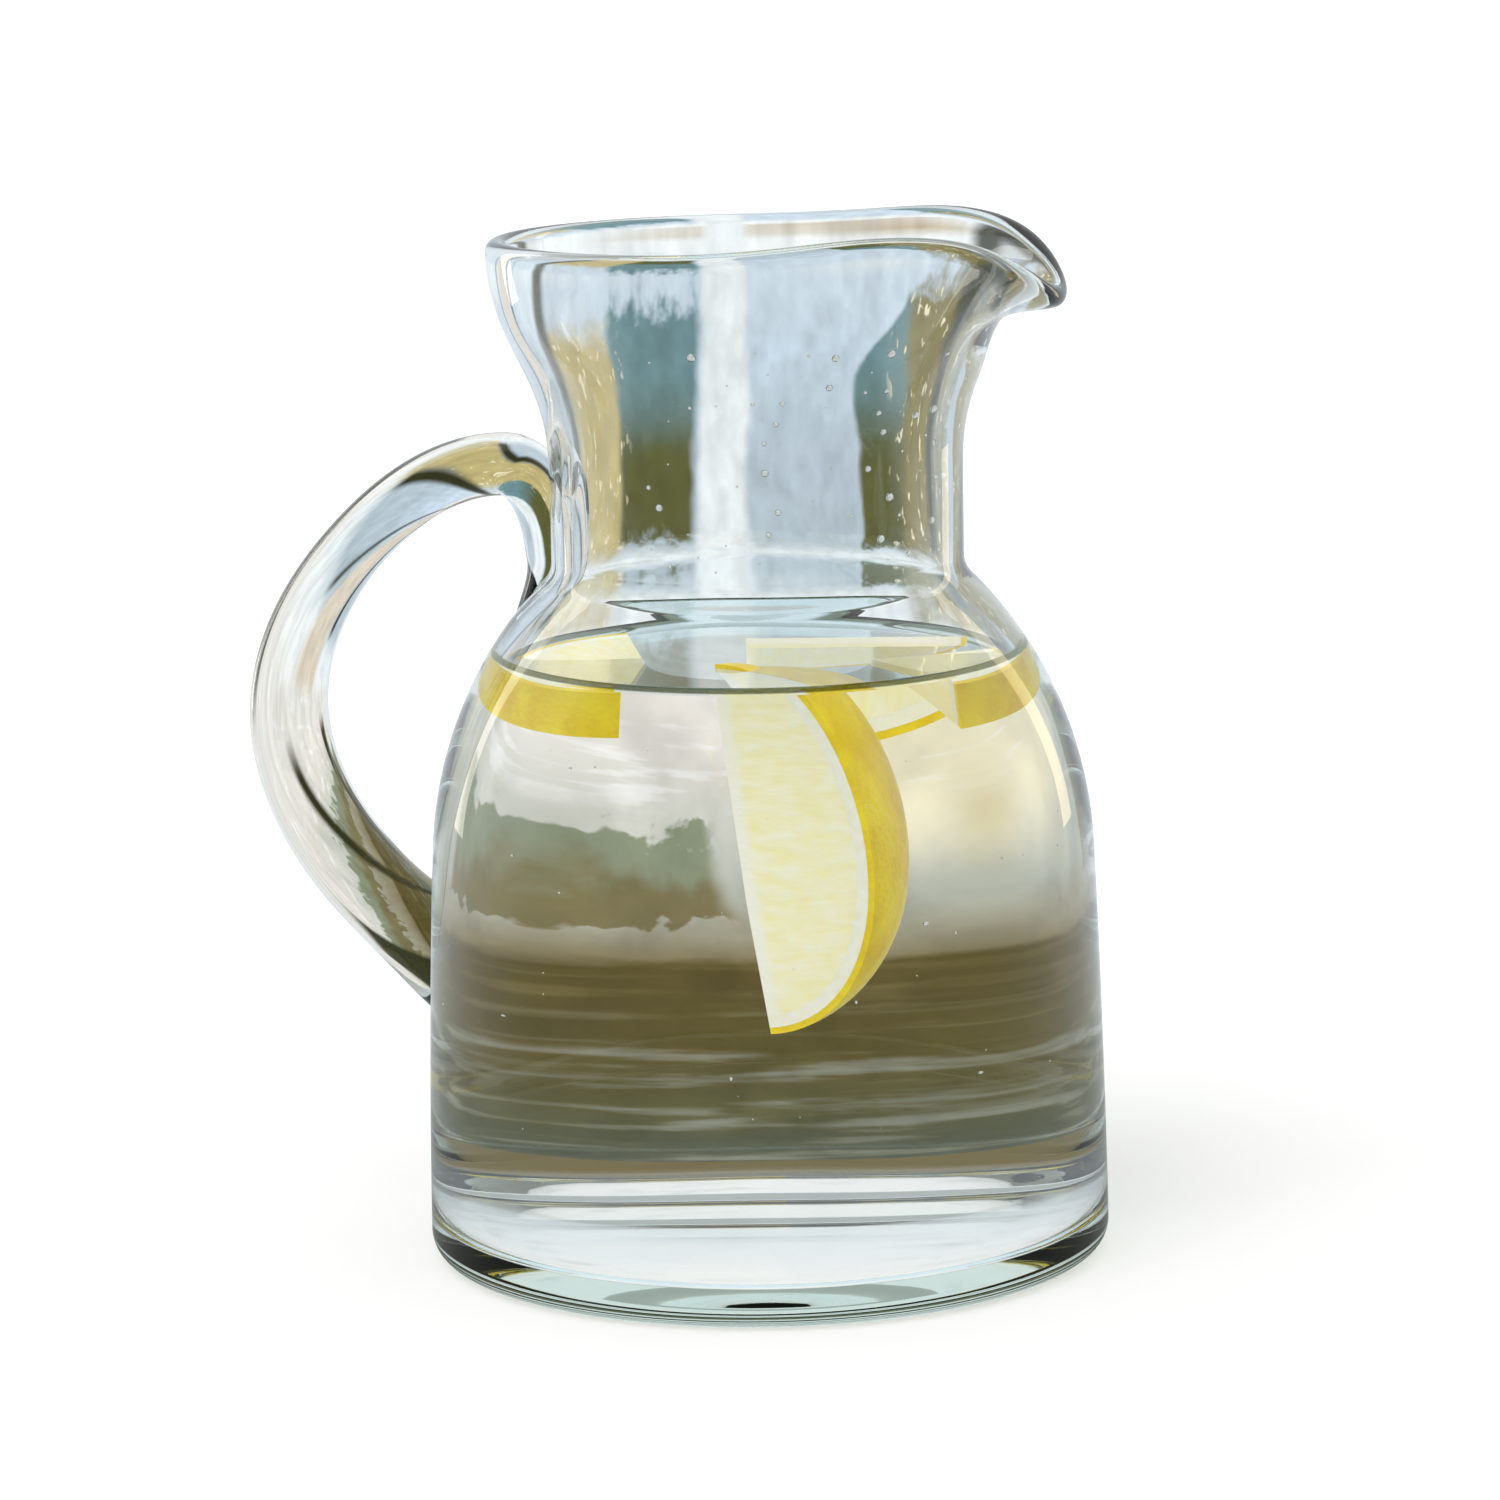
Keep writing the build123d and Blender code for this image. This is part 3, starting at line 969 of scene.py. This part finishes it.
def neckInside(z):
    # radius of the inner wall of neck, flare and throat
    if z <= flareStart:
        return vessel["neckRadius"] - vessel["wall"]
    if z <= mouthHeight:
        return flareX - math.sqrt((vessel["flareRound"] + vessel["wall"])**2 - (z - flareStart)**2)
    share = (z - mouthHeight) / (throatHeight - mouthHeight)
    start = neckInside(mouthHeight)
    return start + share * (throatRadius - vessel["throatWall"] - start)


def bodyInside(z):
    # radius of the inner wall of side and shoulder
    return min(sideAt(z, vessel["wall"]), shoulderAt(max(z, vessel["sideHeight"]), vessel["wall"]))


def scatterTree():
    tree = bpy.data.node_groups.new("scatter_beads", "GeometryNodeTree")
    tree.interface.new_socket("Geometry", in_out="INPUT", socket_type="NodeSocketGeometry")
    for label in ("Density", "Apart", "Small", "Large", "Flat"):
        tree.interface.new_socket(label, in_out="INPUT", socket_type="NodeSocketFloat")
    tree.interface.new_socket("Seed", in_out="INPUT", socket_type="NodeSocketInt")
    tree.interface.new_socket("Material", in_out="INPUT", socket_type="NodeSocketMaterial")
    tree.interface.new_socket("Geometry", in_out="OUTPUT", socket_type="NodeSocketGeometry")
    source = tree.nodes.new("NodeGroupInput").outputs
    target = tree.nodes.new("NodeGroupOutput").inputs
    spots = addNode(tree, "GeometryNodeDistributePointsOnFaces", distribute_method="POISSON")
    tree.links.new(source["Geometry"], spots.inputs["Mesh"])
    tree.links.new(source["Apart"], spots.inputs["Distance Min"])
    tree.links.new(source["Density"], spots.inputs["Density Max"])
    tree.links.new(source["Seed"], spots.inputs["Seed"])
    size = addNode(tree, "FunctionNodeRandomValue", data_type="FLOAT")
    share = calculate(tree, "POWER", size.outputs[1], 3.0)
    tree.links.new(source["Seed"], size.inputs["Seed"])
    width = addNode(tree, "ShaderNodeMapRange")
    tree.links.new(share, width.inputs["Value"])
    tree.links.new(source["Small"], width.inputs["To Min"])
    tree.links.new(source["Large"], width.inputs["To Max"])
    scale = addNode(tree, "ShaderNodeCombineXYZ")
    tree.links.new(width.outputs["Result"], scale.inputs["X"])
    tree.links.new(width.outputs["Result"], scale.inputs["Y"])
    tree.links.new(multiply(tree, width.outputs["Result"], source["Flat"]), scale.inputs["Z"])
    bead = addNode(tree, "GeometryNodeMeshIcoSphere", Radius=1.0, Subdivisions=2)
    placed = addNode(tree, "GeometryNodeInstanceOnPoints")
    tree.links.new(spots.outputs["Points"], placed.inputs["Points"])
    tree.links.new(bead.outputs["Mesh"], placed.inputs["Instance"])
    tree.links.new(spots.outputs["Rotation"], placed.inputs["Rotation"])
    tree.links.new(scale.outputs["Vector"], placed.inputs["Scale"])
    real = addNode(tree, "GeometryNodeRealizeInstances")
    tree.links.new(placed.outputs["Instances"], real.inputs["Geometry"])
    coat = addNode(tree, "GeometryNodeSetMaterial")
    tree.links.new(real.outputs["Geometry"], coat.inputs["Geometry"])
    tree.links.new(source["Material"], coat.inputs["Material"])
    tree.links.new(coat.outputs["Geometry"], target["Geometry"])
    return tree


def scatter(tree, sizes, radiusAt, material):
    # beads on a patch of the wall, made a plain mesh
    rows, columns = 24, 60
    angles = np.radians(np.linspace(sizes["from"], sizes["to"], columns))
    points = np.vstack([placeRing(np.full(columns, radiusAt(z) - sizes["inset"]), z, angles)
                        for z in np.linspace(sizes["lowest"], sizes["highest"], rows)])
    patch = addObject(sizes["name"], meshFrom(sizes["name"], points, gridFaces(rows, columns, False)))
    modifier = patch.modifiers.new("beads", "NODES")
    modifier.node_group = tree
    for socket in tree.interface.items_tree:
        if socket.in_out == "INPUT" and socket.name.lower() in sizes:
            modifier[socket.identifier] = sizes[socket.name.lower()]
        elif socket.in_out == "INPUT" and socket.name == "Material":
            modifier[socket.identifier] = material
    depsgraph = bpy.context.evaluated_depsgraph_get()
    mesh = bpy.data.meshes.new_from_object(patch.evaluated_get(depsgraph))
    patch.modifiers.clear()
    patch.data = mesh
    mesh.shade_smooth()
    print(sizes["name"], len(mesh.polygons), "faces")
    return patch


def makeBead(name, ior):
    material, tree, output = newMaterial(name)
    letLampsThrough(tree, clearShader(tree, ior).outputs["BSDF"], output, (1, 1, 1, 1))
    return material


beadTree = scatterTree()
neckDrops = scatter(beadTree, drops, neckInside, makeBead("drop_water", waterLook["ior"]))
waterBubbles = scatter(beadTree, bubbles, bodyInside, makeBead("bubble_air", 1 / waterLook["ior"]))

# Every piece rides on the one body and stands for its solids

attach(glass, "root")
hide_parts("carafe_body", "handle")
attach(waterBody, "root")
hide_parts("water")
for beads in (neckDrops, waterBubbles):
    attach(beads, "root")
for layer, objects in lemonObjects.items():
    for obj, node in objects:
        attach(obj, "root")
        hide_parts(node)

# Studio: pale floor and world, a soft lamp, and a card of painted reflections and two glowing strips of
# painted highlights that only the glass shows

studio = {
    "floorSize": 24.0,
    "floorColour": (0.80, 0.80, 0.80, 1),
    "floorLift": 0.04,  # added for the eye, so that the lit floor is white and its shadow stays
    "farLift": 0.35,  # added again away from the carafe
    "farFrom": (0.12, 0.5),  # metres from the carafe's axis between which it grows
    # painted tones that the glass shows of the floor: beyond the foot, a dark ring at its edge that draws
    # painted shade lines in the foot, and under it
    "floorSeen": (0.80, 0.86, 0.90, 1),
    "footRing": (0.08, 0.09, 0.04, 1),
    "footSeen": (0.72, 0.90, 0.98, 1),
    "ringOuter": (0.067, 0.071),
    "ringInner": (0.0645, 0.0665),
    "worldLight": 0.95,
    # painted sky and scenery that the glass shows of the world instead of its plain light, by height on the
    # unit sphere
    "sky": (0.78, 0.87, 0.94, 1),
    "zenith": (1.0, 1.0, 1.0, 1),
    "skyRise": (0.0, 0.7),
    "haze": (0.34, 0.42, 0.44, 1),
    "hazeNoise": ((1, 1, 5), 5, 1.0),
    "hazeRise": (0.2, 1.0),
    "hazeShare": 0.3,
    "ring": (0.42, 0.88, 0.03),  # a painted dark ring, which draws painted shade lines in lip and foot
    "ringTone": (0.03, 0.035, 0.012, 1),
    # painted dim reflection that the glass mirrors from the viewer's side, and where that begins and ends
    "room": (0.13, 0.14, 0.10, 1),
    "roomInWorld": (-0.25, 0.15),
    "roomOnFloor": (-0.15, 0.35),
}
table = {
    # a darker place behind the carafe, painted into the floor for the glass only: from, to and softness,
    # across and away, in metres
    "place": ((-0.17, 0.17, 0.01), (0.0, 0.09, 0.002)),
    "tone": (0.20, 0.17, 0.09, 1),
}
# painted reflections and refractions: a card of scenery that glows for the glass only
card = {
    "away": 0.082,
    "width": 0.34,
    "height": 0.22,
    "turn": 13.0,  # it stands square to the viewer
    "split": (0.098, 0.106),  # the body's zone lies below, the neck's above
    # tones of the body's zone by height in metres, from the table's edge to the sky
    "bodyTones": (
        (0.000, (0.12, 0.14, 0.11)),
        (0.008, (0.10, 0.11, 0.070)),
        (0.016, (0.115, 0.11, 0.050)),
        (0.026, (0.105, 0.085, 0.026)),
        (0.0445, (0.105, 0.080, 0.022)),
        (0.0462, (0.26, 0.22, 0.12)),
        (0.052, (0.36, 0.34, 0.25)),
        (0.060, (0.50, 0.53, 0.46)),
        (0.070, (0.70, 0.70, 0.63)),
        (0.080, (0.86, 0.82, 0.76)),
        (0.100, (0.88, 0.87, 0.83)),
    ),
    "neckTones": (
        (0.100, (0.98, 1.00, 1.00)),
        (0.116, (0.92, 0.98, 1.00)),
        (0.128, (0.50, 0.60, 0.67)),
        (0.150, (0.52, 0.62, 0.71)),
        (0.175, (0.64, 0.77, 0.89)),
        (0.190, (0.68, 0.80, 0.91)),
        (0.1945, (0.95, 1.00, 1.00)),
        (0.196, (0.95, 1.00, 1.00)),
        (0.198, (0.62, 0.52, 0.37)),
        (0.2008, (0.62, 0.52, 0.37)),
        (0.2020, (0.05, 0.05, 0.02)),
    ),
    # each noise is given by stretch, scale and reach, each place by from, to and softness across and up,
    # in metres, and each rise by where the blend begins and ends
    "streakNoise": ((1, 1, 2), 45, 0.002),
    "bushNoise": ((1, 1, 0.6), 420, 0.0025),
    "rippleNoise": ((1, 1, 0.5), 40, 0.003),
    "mottleNoise": ((1, 1, 0.5), 260, 0.13),
    # body's zone: a bank with its ragged top, streaks on the table, a painted warm light and fine painted
    # pale lines, all painted refractions
    "bank": ((-0.20, -0.003, 0.0015), (0.0535, 0.0668, 0.0006)),
    "bankRise": (0.058, 0.065),
    "bankLow": (0.21, 0.18, 0.085, 1),
    "bankHigh": (0.27, 0.31, 0.21, 1),
    "wetNoise": ((0.8, 1, 5), 60, 1.0),
    # for each kind of streak: rise, heights, strength and tone
    "streaks": (
        ((0.1, 1.0), (-0.05, 0.030, 0.010), 0.7, (0.30, 0.36, 0.35, 1)),
        ((-0.2, 0.9), (-0.05, 0.046, 0.004), 0.3, (0.26, 0.21, 0.08, 1)),
    ),
    "sun": ((0.006, 0.20, 0.004), (0.063, 0.12, 0.006)),
    "sunRise": (0.0135, 0.0165),
    "sunPale": (0.90, 0.84, 0.60, 1),
    "sunWarm": (0.72, 0.60, 0.28, 1),
    "lineNoise": ((1, 1, 3.5), 150, 1.0),
    "lineRise": (0.2, 0.8),
    "lineHeights": (0.070, 0.12, 0.003),
    "lineStrength": 0.6,
    # neck's zone: a painted gleam, a peach edge, warm sides, and a dark mass on the left and on the right,
    # all painted reflections and refractions
    "gleam": (-0.012, -0.001, 0.0015),
    "gleamTone": (0.92, 0.98, 1.0, 1),
    "peach": (-0.124, -0.102, 0.003),
    "peachTone": (0.78, 0.69, 0.57, 1),
    "sides": ((-0.058, -0.034, 0.003), (0.038, 0.10, 0.003)),
    "sideHeights": (0.118, 0.180, 0.010),
    "sideRise": (-0.01, 0.01),
    "sideTone": (0.60, 0.50, 0.22, 1),
    "leftMass": ((-0.036, -0.0135, 0.0015), (0.130, 0.187, 0.003)),
    "rightMass": ((0.0235, 0.0445, 0.001), (0.124, 0.186, 0.003)),
    "slant": 0.014,
    "slantRise": (0.164, 0.190),
    "massRise": (0.148, 0.170),
    "massLow": (0.11, 0.115, 0.030, 1),
    "massHigh": (0.16, 0.29, 0.32, 1),
    "massWarm": (0.24, 0.20, 0.05, 1),
    "massWarmRise": (0.035, 0.040),
    "spark": (1.0, 0.90, 0.62, 1),
    "sparkNoise": ((1, 1, 0.35), 620, 1.0),
    "sparkRise": (0.45, 0.9),
    "sparkEdge": (0.030, 0.036),
    # painted dark upright flags, from and to, which line the edges of body, neck and handle with painted
    # shade
    "flag": (0.030, 0.030, 0.008, 1),
    "flagSoft": 0.002,
    "bodyFlags": ((-0.146, -0.134), (-0.098, -0.092), (-0.052, -0.032), (0.032, 0.070)),
    "bodyFlagHeights": (-0.1, 0.088, 0.006),
    "neckFlags": ((-0.133, -0.127), (-0.097, -0.094), (-0.062, -0.056), (0.050, 0.056)),
    "neckFlagHeights": (0.124, 0.30, 0.004),
    # painted tone for what shows through the water's face, which bends the light once more than its sides do
    "face": (0.66, 0.70, 0.68, 1),
    "faceStrength": 0.75,
    "faceTurns": 4.5,
    "mirrorRise": (0.108, 0.110),  # heights above which the card also shows once mirrored, as a painted reflection
}
# painted highlights: glowing strips that only the glass mirrors
strips = {
    # azimuth from the viewer's side, distance, width, foot, head, strength and colour
    "left": (-127, 0.55, 0.10, 0.05, 0.60, 3.0, (1.0, 0.96, 0.88, 1)),
    "right": (126, 0.55, 0.08, 0.05, 0.50, 3.0, (1.0, 0.88, 0.66, 1)),
}
lamp = {
    "place": (-0.35, -0.85, 1.5),
    "target": (0, 0, 0.1),
    "size": 0.7,
    "strength": 13.0,
}


def addPanel(name, corners, degrees):
    # a flat oblong in metres, turned about the carafe's axis
    turn = Matrix.Rotation(math.radians(degrees), 3, "Z")
    mesh = bpy.data.meshes.new(name)
    mesh.from_pydata([turn @ Vector(corner) for corner in corners], [], [(0, 1, 2, 3)])
    return addObject(name, mesh)


def hideFrom(obj, *rays):
    for ray in rays:
        setattr(obj, f"visible_{ray}", False)


def glow(tree, colour, strength):
    node = addNode(tree, "ShaderNodeEmission")
    feed(tree, node.inputs["Color"], colour)
    feed(tree, node.inputs["Strength"], strength)
    return node.outputs["Emission"]


def background(tree, colour, strength):
    node = addNode(tree, "ShaderNodeBackground")
    feed(tree, node.inputs["Color"], colour)
    feed(tree, node.inputs["Strength"], strength)
    return node.outputs["Background"]


def viewerFrame(tree):
    # X to the viewer's right and Y away from the viewer, in metres
    place = addNode(tree, "ShaderNodeTexCoord")
    turned = addNode(tree, "ShaderNodeMapping", vector_type="POINT")
    turned.inputs["Rotation"].default_value = (0, 0, -math.radians(card["turn"]))
    tree.links.new(place.outputs["Object"], turned.inputs["Vector"])
    parts = addNode(tree, "ShaderNodeSeparateXYZ")
    tree.links.new(turned.outputs["Vector"], parts.inputs["Vector"])
    return turned.outputs["Vector"], parts.outputs


def noiseShift(tree, where, stretch, scale, reach):
    # soft noise from -reach to reach
    mapping = addNode(tree, "ShaderNodeMapping")
    mapping.inputs["Scale"].default_value = stretch
    tree.links.new(where, mapping.inputs["Vector"])
    noise = addMottle(tree, mapping.outputs["Vector"], scale, 4)
    spread = addNode(tree, "ShaderNodeMapRange")
    for key, value in (("From Min", 0.3), ("From Max", 0.7), ("To Min", -reach), ("To Max", reach)):
        spread.inputs[key].default_value = value
    tree.links.new(noise, spread.inputs["Value"])
    return spread.outputs["Result"]


def oblong(tree, across, up, place):
    # 1 inside a place, with soft edges
    return multiply(tree, band(tree, across, *place[0]), band(tree, up, *place[1]))


def throughGlass(tree):
    # rays that come to the eye by the glass, and not by a dull surface
    path = addNode(tree, "ShaderNodeLightPath")
    clear = calculate(tree, "LESS_THAN", path.outputs["Diffuse Depth"], 0.5)
    bent = maximum(tree, path.outputs["Is Glossy Ray"], path.outputs["Is Transmission Ray"])
    return path, multiply(tree, bent, clear)


def straightThrough(tree, path, through):
    # of those, the rays that no surface has mirrored
    unmirrored = calculate(tree, "LESS_THAN", path.outputs["Glossy Depth"], 0.5)
    return multiply(tree, through, unmirrored)


def makeFloor():
    size = studio["floorSize"] / 2
    floor = addPanel("floor", [(-size, -size, 0), (size, -size, 0), (size, size, 0), (-size, size, 0)], 0)
    material, tree, output = newMaterial("floor_white")
    path, through = throughGlass(tree)
    where, axes = viewerFrame(tree)
    length = addNode(tree, "ShaderNodeVectorMath", operation="LENGTH")
    tree.links.new(where, length.inputs[0])
    away = length.outputs["Value"]
    # what the eye sees: the lit floor, lifted to white
    far = multiply(tree, rampUp(tree, away, *studio["farFrom"]), studio["farLift"])
    diffuse = addNode(tree, "ShaderNodeBsdfDiffuse", Color=studio["floorColour"])
    lit = addNode(tree, "ShaderNodeAddShader")
    tree.links.new(diffuse.outputs["BSDF"], lit.inputs[0])
    lift = calculate(tree, "ADD", far, studio["floorLift"])
    tree.links.new(glow(tree, (1, 1, 1, 1), lift), lit.inputs[1])
    # what the glass shows, painted into the floor for its rays only: a table's tone round the foot and a
    # pale floor beyond it
    straight = straightThrough(tree, path, through)
    inside = multiply(tree, oblong(tree, axes["X"], axes["Y"], table["place"]), straight)
    tone = mixColour(tree, inside, studio["floorSeen"], table["tone"])
    # what it mirrors of the floor on the viewer's side is painted dim, a painted dark reflection
    near = invert(tree, rampUp(tree, axes["Y"], *studio["roomOnFloor"]))
    tone = mixColour(tree, multiply(tree, invert(tree, straight), near), tone, studio["room"])
    # painted shade lines: a dark ring at the foot's edge, and a painted pale tone under the foot
    tone = mixColour(tree, rampUp(tree, away, *studio["ringOuter"]), studio["footRing"], tone)
    tone = mixColour(tree, rampUp(tree, away, *studio["ringInner"]), studio["footSeen"], tone)
    plain = mixShader(tree, path.outputs["Is Camera Ray"], diffuse.outputs["BSDF"], lit.outputs["Shader"])
    tree.links.new(mixShader(tree, through, plain, glow(tree, tone, 1.0)), output.inputs["Surface"])
    floor.data.materials.append(material)


def addFlags(tree, tone, x, z, flags, heights):
    # painted dark bands, which draw painted shade along the glass's edges
    upright = maximum(tree, *[band(tree, x, *flag, card["flagSoft"]) for flag in flags])
    return mixColour(tree, multiply(tree, upright, band(tree, z, *heights)), tone, card["flag"])


def bodyZone(tree, where, x, z, wavyX, lowZ, bushyZ):
    # painted refractions: a dark table with streaks, a bank, and a bright sky, which the water turns over in
    # part, with a painted warm light
    tone = toneRamp(tree, lowZ, card["bodyTones"])
    bankTone = mixColour(tree, rampUp(tree, bushyZ, *card["bankRise"]), card["bankLow"], card["bankHigh"])
    tone = mixColour(tree, oblong(tree, wavyX, bushyZ, card["bank"]), tone, bankTone)
    wet = noiseShift(tree, where, *card["wetNoise"])
    for rise, heights, strength, colour in card["streaks"]:
        streak = multiply(tree, rampUp(tree, wet, *rise), band(tree, lowZ, *heights))
        tone = mixColour(tree, multiply(tree, streak, strength), tone, colour)
    # painted pool of warm light
    sunTone = mixColour(tree, rampUp(tree, wavyX, *card["sunRise"]), card["sunPale"], card["sunWarm"])
    tone = mixColour(tree, oblong(tree, wavyX, z, card["sun"]), tone, sunTone)
    lines = rampUp(tree, noiseShift(tree, where, *card["lineNoise"]), *card["lineRise"])
    lines = multiply(tree, lines, band(tree, bushyZ, *card["lineHeights"]))
    tone = mixColour(tree, multiply(tree, lines, card["lineStrength"]), tone, (1, 1, 1, 1))
    return addFlags(tree, tone, x, z, card["bodyFlags"], card["bodyFlagHeights"])


def neckZone(tree, where, x, z, wavyX, lowZ, bushyZ):
    # painted refractions: pale blue between two dark masses, with warm sides, a painted gleam and painted
    # sparks
    tone = toneRamp(tree, z, card["neckTones"])
    # painted highlight: a gleam
    tone = mixColour(tree, band(tree, wavyX, *card["gleam"]), tone, card["gleamTone"])
    tone = mixColour(tree, band(tree, x, *card["peach"]), tone, card["peachTone"])
    sides = maximum(tree, *[band(tree, wavyX, *side) for side in card["sides"]])
    sides = multiply(tree, sides, band(tree, bushyZ, *card["sideHeights"]))
    sideTone = mixColour(tree, rampUp(tree, x, *card["sideRise"]), card["sideTone"], card["massWarm"])
    tone = mixColour(tree, sides, tone, sideTone)
    dark = mixColour(tree, rampUp(tree, lowZ, *card["massRise"]), card["massLow"], card["massHigh"])
    left = oblong(tree, wavyX, bushyZ, card["leftMass"])
    slant = multiply(tree, rampUp(tree, z, *card["slantRise"]), card["slant"])
    right = oblong(tree, calculate(tree, "SUBTRACT", wavyX, slant), bushyZ, card["rightMass"])
    rightTone = mixColour(tree, rampUp(tree, wavyX, *card["massWarmRise"]), dark, card["massWarm"])
    tone = mixColour(tree, left, tone, dark)
    tone = mixColour(tree, right, tone, rightTone)
    # painted glints: sparks along the sides and the right mass's edge
    sparks = rampUp(tree, noiseShift(tree, where, *card["sparkNoise"]), *card["sparkRise"])
    edges = maximum(tree, sides, multiply(tree, right, rampUp(tree, wavyX, *card["sparkEdge"])))
    tone = mixColour(tree, multiply(tree, sparks, edges), tone, card["spark"])
    return addFlags(tree, tone, x, z, card["neckFlags"], card["neckFlagHeights"])


def makeCard():
    # a card close behind the carafe, toned with painted reflections and refractions, which glows though it
    # is no lamp and shows in the glass and nowhere else
    side, height, away = card["width"] / 2, card["height"], card["away"]
    corners = [(-side, away, 0), (side, away, 0), (side, away, height), (-side, away, height)]
    obj = addPanel("card", corners, card["turn"])
    hideFrom(obj, "camera", "diffuse", "shadow", "glossy", "volume_scatter")
    material, tree, output = newMaterial("card_tones")
    where, axes = viewerFrame(tree)
    x, z = axes["X"], axes["Z"]
    lowZ = calculate(tree, "ADD", z, noiseShift(tree, where, *card["streakNoise"]))
    bushyZ = calculate(tree, "ADD", lowZ, noiseShift(tree, where, *card["bushNoise"]))
    wavyX = calculate(tree, "ADD", x, noiseShift(tree, where, *card["rippleNoise"]))
    low = bodyZone(tree, where, x, z, wavyX, lowZ, bushyZ)
    high = neckZone(tree, where, x, z, wavyX, lowZ, bushyZ)
    tone = mixColour(tree, rampUp(tree, z, *card["split"]), low, high)
    path, through = throughGlass(tree)
    # paths that went in by the water's face are bent through one surface more, and take a painted tone
    overFace = calculate(tree, "GREATER_THAN", path.outputs["Transmission Depth"], card["faceTurns"])
    tone = mixColour(tree, multiply(tree, overFace, card["faceStrength"]), tone, card["face"])
    strength = calculate(tree, "ADD", noiseShift(tree, where, *card["mottleNoise"]), 1.0)
    clear = addNode(tree, "ShaderNodeBsdfTransparent")
    # the neck's zone also shows to rays that the glass has mirrored once, as in its edges and in the lip, as
    # a painted reflection
    turns = calculate(tree, "ADD", rampUp(tree, z, *card["mirrorRise"]), 0.5)
    shown = multiply(tree, through, calculate(tree, "LESS_THAN", path.outputs["Glossy Depth"], turns))
    surface = mixShader(tree, shown, clear.outputs["BSDF"], glow(tree, tone, strength))
    tree.links.new(surface, output.inputs["Surface"])
    obj.data.materials.append(material)


def makeStrips():
    # tall glowing strips like soft boxes, which light nothing and only mirror in the glass, as painted
    # highlights
    for side, (azimuth, distance, width, foot, head, strength, colour) in strips.items():
        corners = [(-width / 2, -distance, foot), (width / 2, -distance, foot),
                   (width / 2, -distance, head), (-width / 2, -distance, head)]
        obj = addPanel(f"strip_{side}", corners, card["turn"] + azimuth)
        hideFrom(obj, "camera", "diffuse", "shadow", "transmission", "volume_scatter")
        material, tree, output = newMaterial(f"strip_{side}")
        tree.links.new(glow(tree, colour, strength), output.inputs["Surface"])
        obj.data.materials.append(material)


def makeWorld():
    world = bpy.data.worlds.new("studio")
    scene.world = world
    world.use_nodes = True
    tree = world.node_tree
    tree.nodes.clear()
    output = tree.nodes.new("ShaderNodeOutputWorld")
    path, through = throughGlass(tree)
    light = background(tree, (1, 1, 1, 1), studio["worldLight"])
    white = background(tree, (1, 1, 1, 1), 1.0)
    # what the glass shows, painted: pale blue from the horizon up to white, and the dim room on the viewer's
    # side as a painted dark reflection
    where, axes = viewerFrame(tree)
    sky = mixColour(tree, rampUp(tree, axes["Z"], *studio["skyRise"]), studio["sky"], studio["zenith"])
    haze = rampUp(tree, noiseShift(tree, where, *studio["hazeNoise"]), *studio["hazeRise"])
    sky = mixColour(tree, multiply(tree, haze, studio["hazeShare"]), sky, studio["haze"])
    # painted dark band, which draws painted shade lines in lip and foot
    ring = multiply(tree, band(tree, axes["Z"], *studio["ring"]), straightThrough(tree, path, through))
    sky = mixColour(tree, ring, sky, studio["ringTone"])
    sky = mixColour(tree, rampUp(tree, axes["Y"], *studio["roomInWorld"]), studio["room"], sky)
    inGlass = mixShader(tree, through, light, background(tree, sky, 1.0))
    surface = mixShader(tree, path.outputs["Is Camera Ray"], inGlass, white)
    tree.links.new(surface, output.inputs["Surface"])


def makeLamp():
    light = bpy.data.lights.new("key", "AREA")
    light.shape = "RECTANGLE"
    light.size = lamp["size"]
    light.size_y = lamp["size"]
    light.energy = lamp["strength"]
    obj = addObject("key", light)
    obj.location = lamp["place"]
    aim = Vector(lamp["target"]) - Vector(lamp["place"])
    obj.rotation_euler = aim.to_track_quat("-Z", "Y").to_euler()
    hideFrom(obj, "glossy", "transmission")


makeFloor()
makeCard()
makeStrips()
makeWorld()
makeLamp()
print("studio done")

# Camera, as fitted to the photograph

camera = {
    "distance": 1100.0,
    "height": 295.0,
    "lens": 134.6,
    "sensor": 36.0,
    "clip": (0.01, 50.0),  # in metres
    "azimuth": 13.0,
    "yaw": -0.117,
    "pitch": 10.014,
    "roll": -1.1,
}
bounces = {
    "max_bounces": 28,
    "transmission_bounces": 28,
    "transparent_max_bounces": 32,
    "glossy_bounces": 8,
}


def makeCamera():
    data = bpy.data.cameras.new("camera")
    data.lens = camera["lens"]
    data.sensor_width = camera["sensor"]
    data.clip_start, data.clip_end = camera["clip"]
    obj = addObject("camera", data)
    azimuth, yaw, pitch, roll = (math.radians(camera[k]) for k in ("azimuth", "yaw", "pitch", "roll"))
    forward = Vector((math.sin(yaw) * math.cos(pitch), math.cos(yaw) * math.cos(pitch), -math.sin(pitch)))
    level = forward.cross(Vector((0, 0, 1))).normalized()
    upright = level.cross(forward)
    right = math.cos(roll) * level + math.sin(roll) * upright
    up = math.cos(roll) * upright - math.sin(roll) * level
    turn = Matrix.Rotation(azimuth, 3, "Z")
    axes = Matrix((turn @ right, turn @ up, turn @ -forward)).transposed()
    place = turn @ Vector((0, -camera["distance"], camera["height"])) * mm
    obj.matrix_world = Matrix.Translation(place) @ axes.to_4x4()
    scene.camera = obj


makeCamera()
scene.view_settings.view_transform = "Standard"
for key, count in bounces.items():
    setattr(scene.cycles, key, count)
print("camera done")
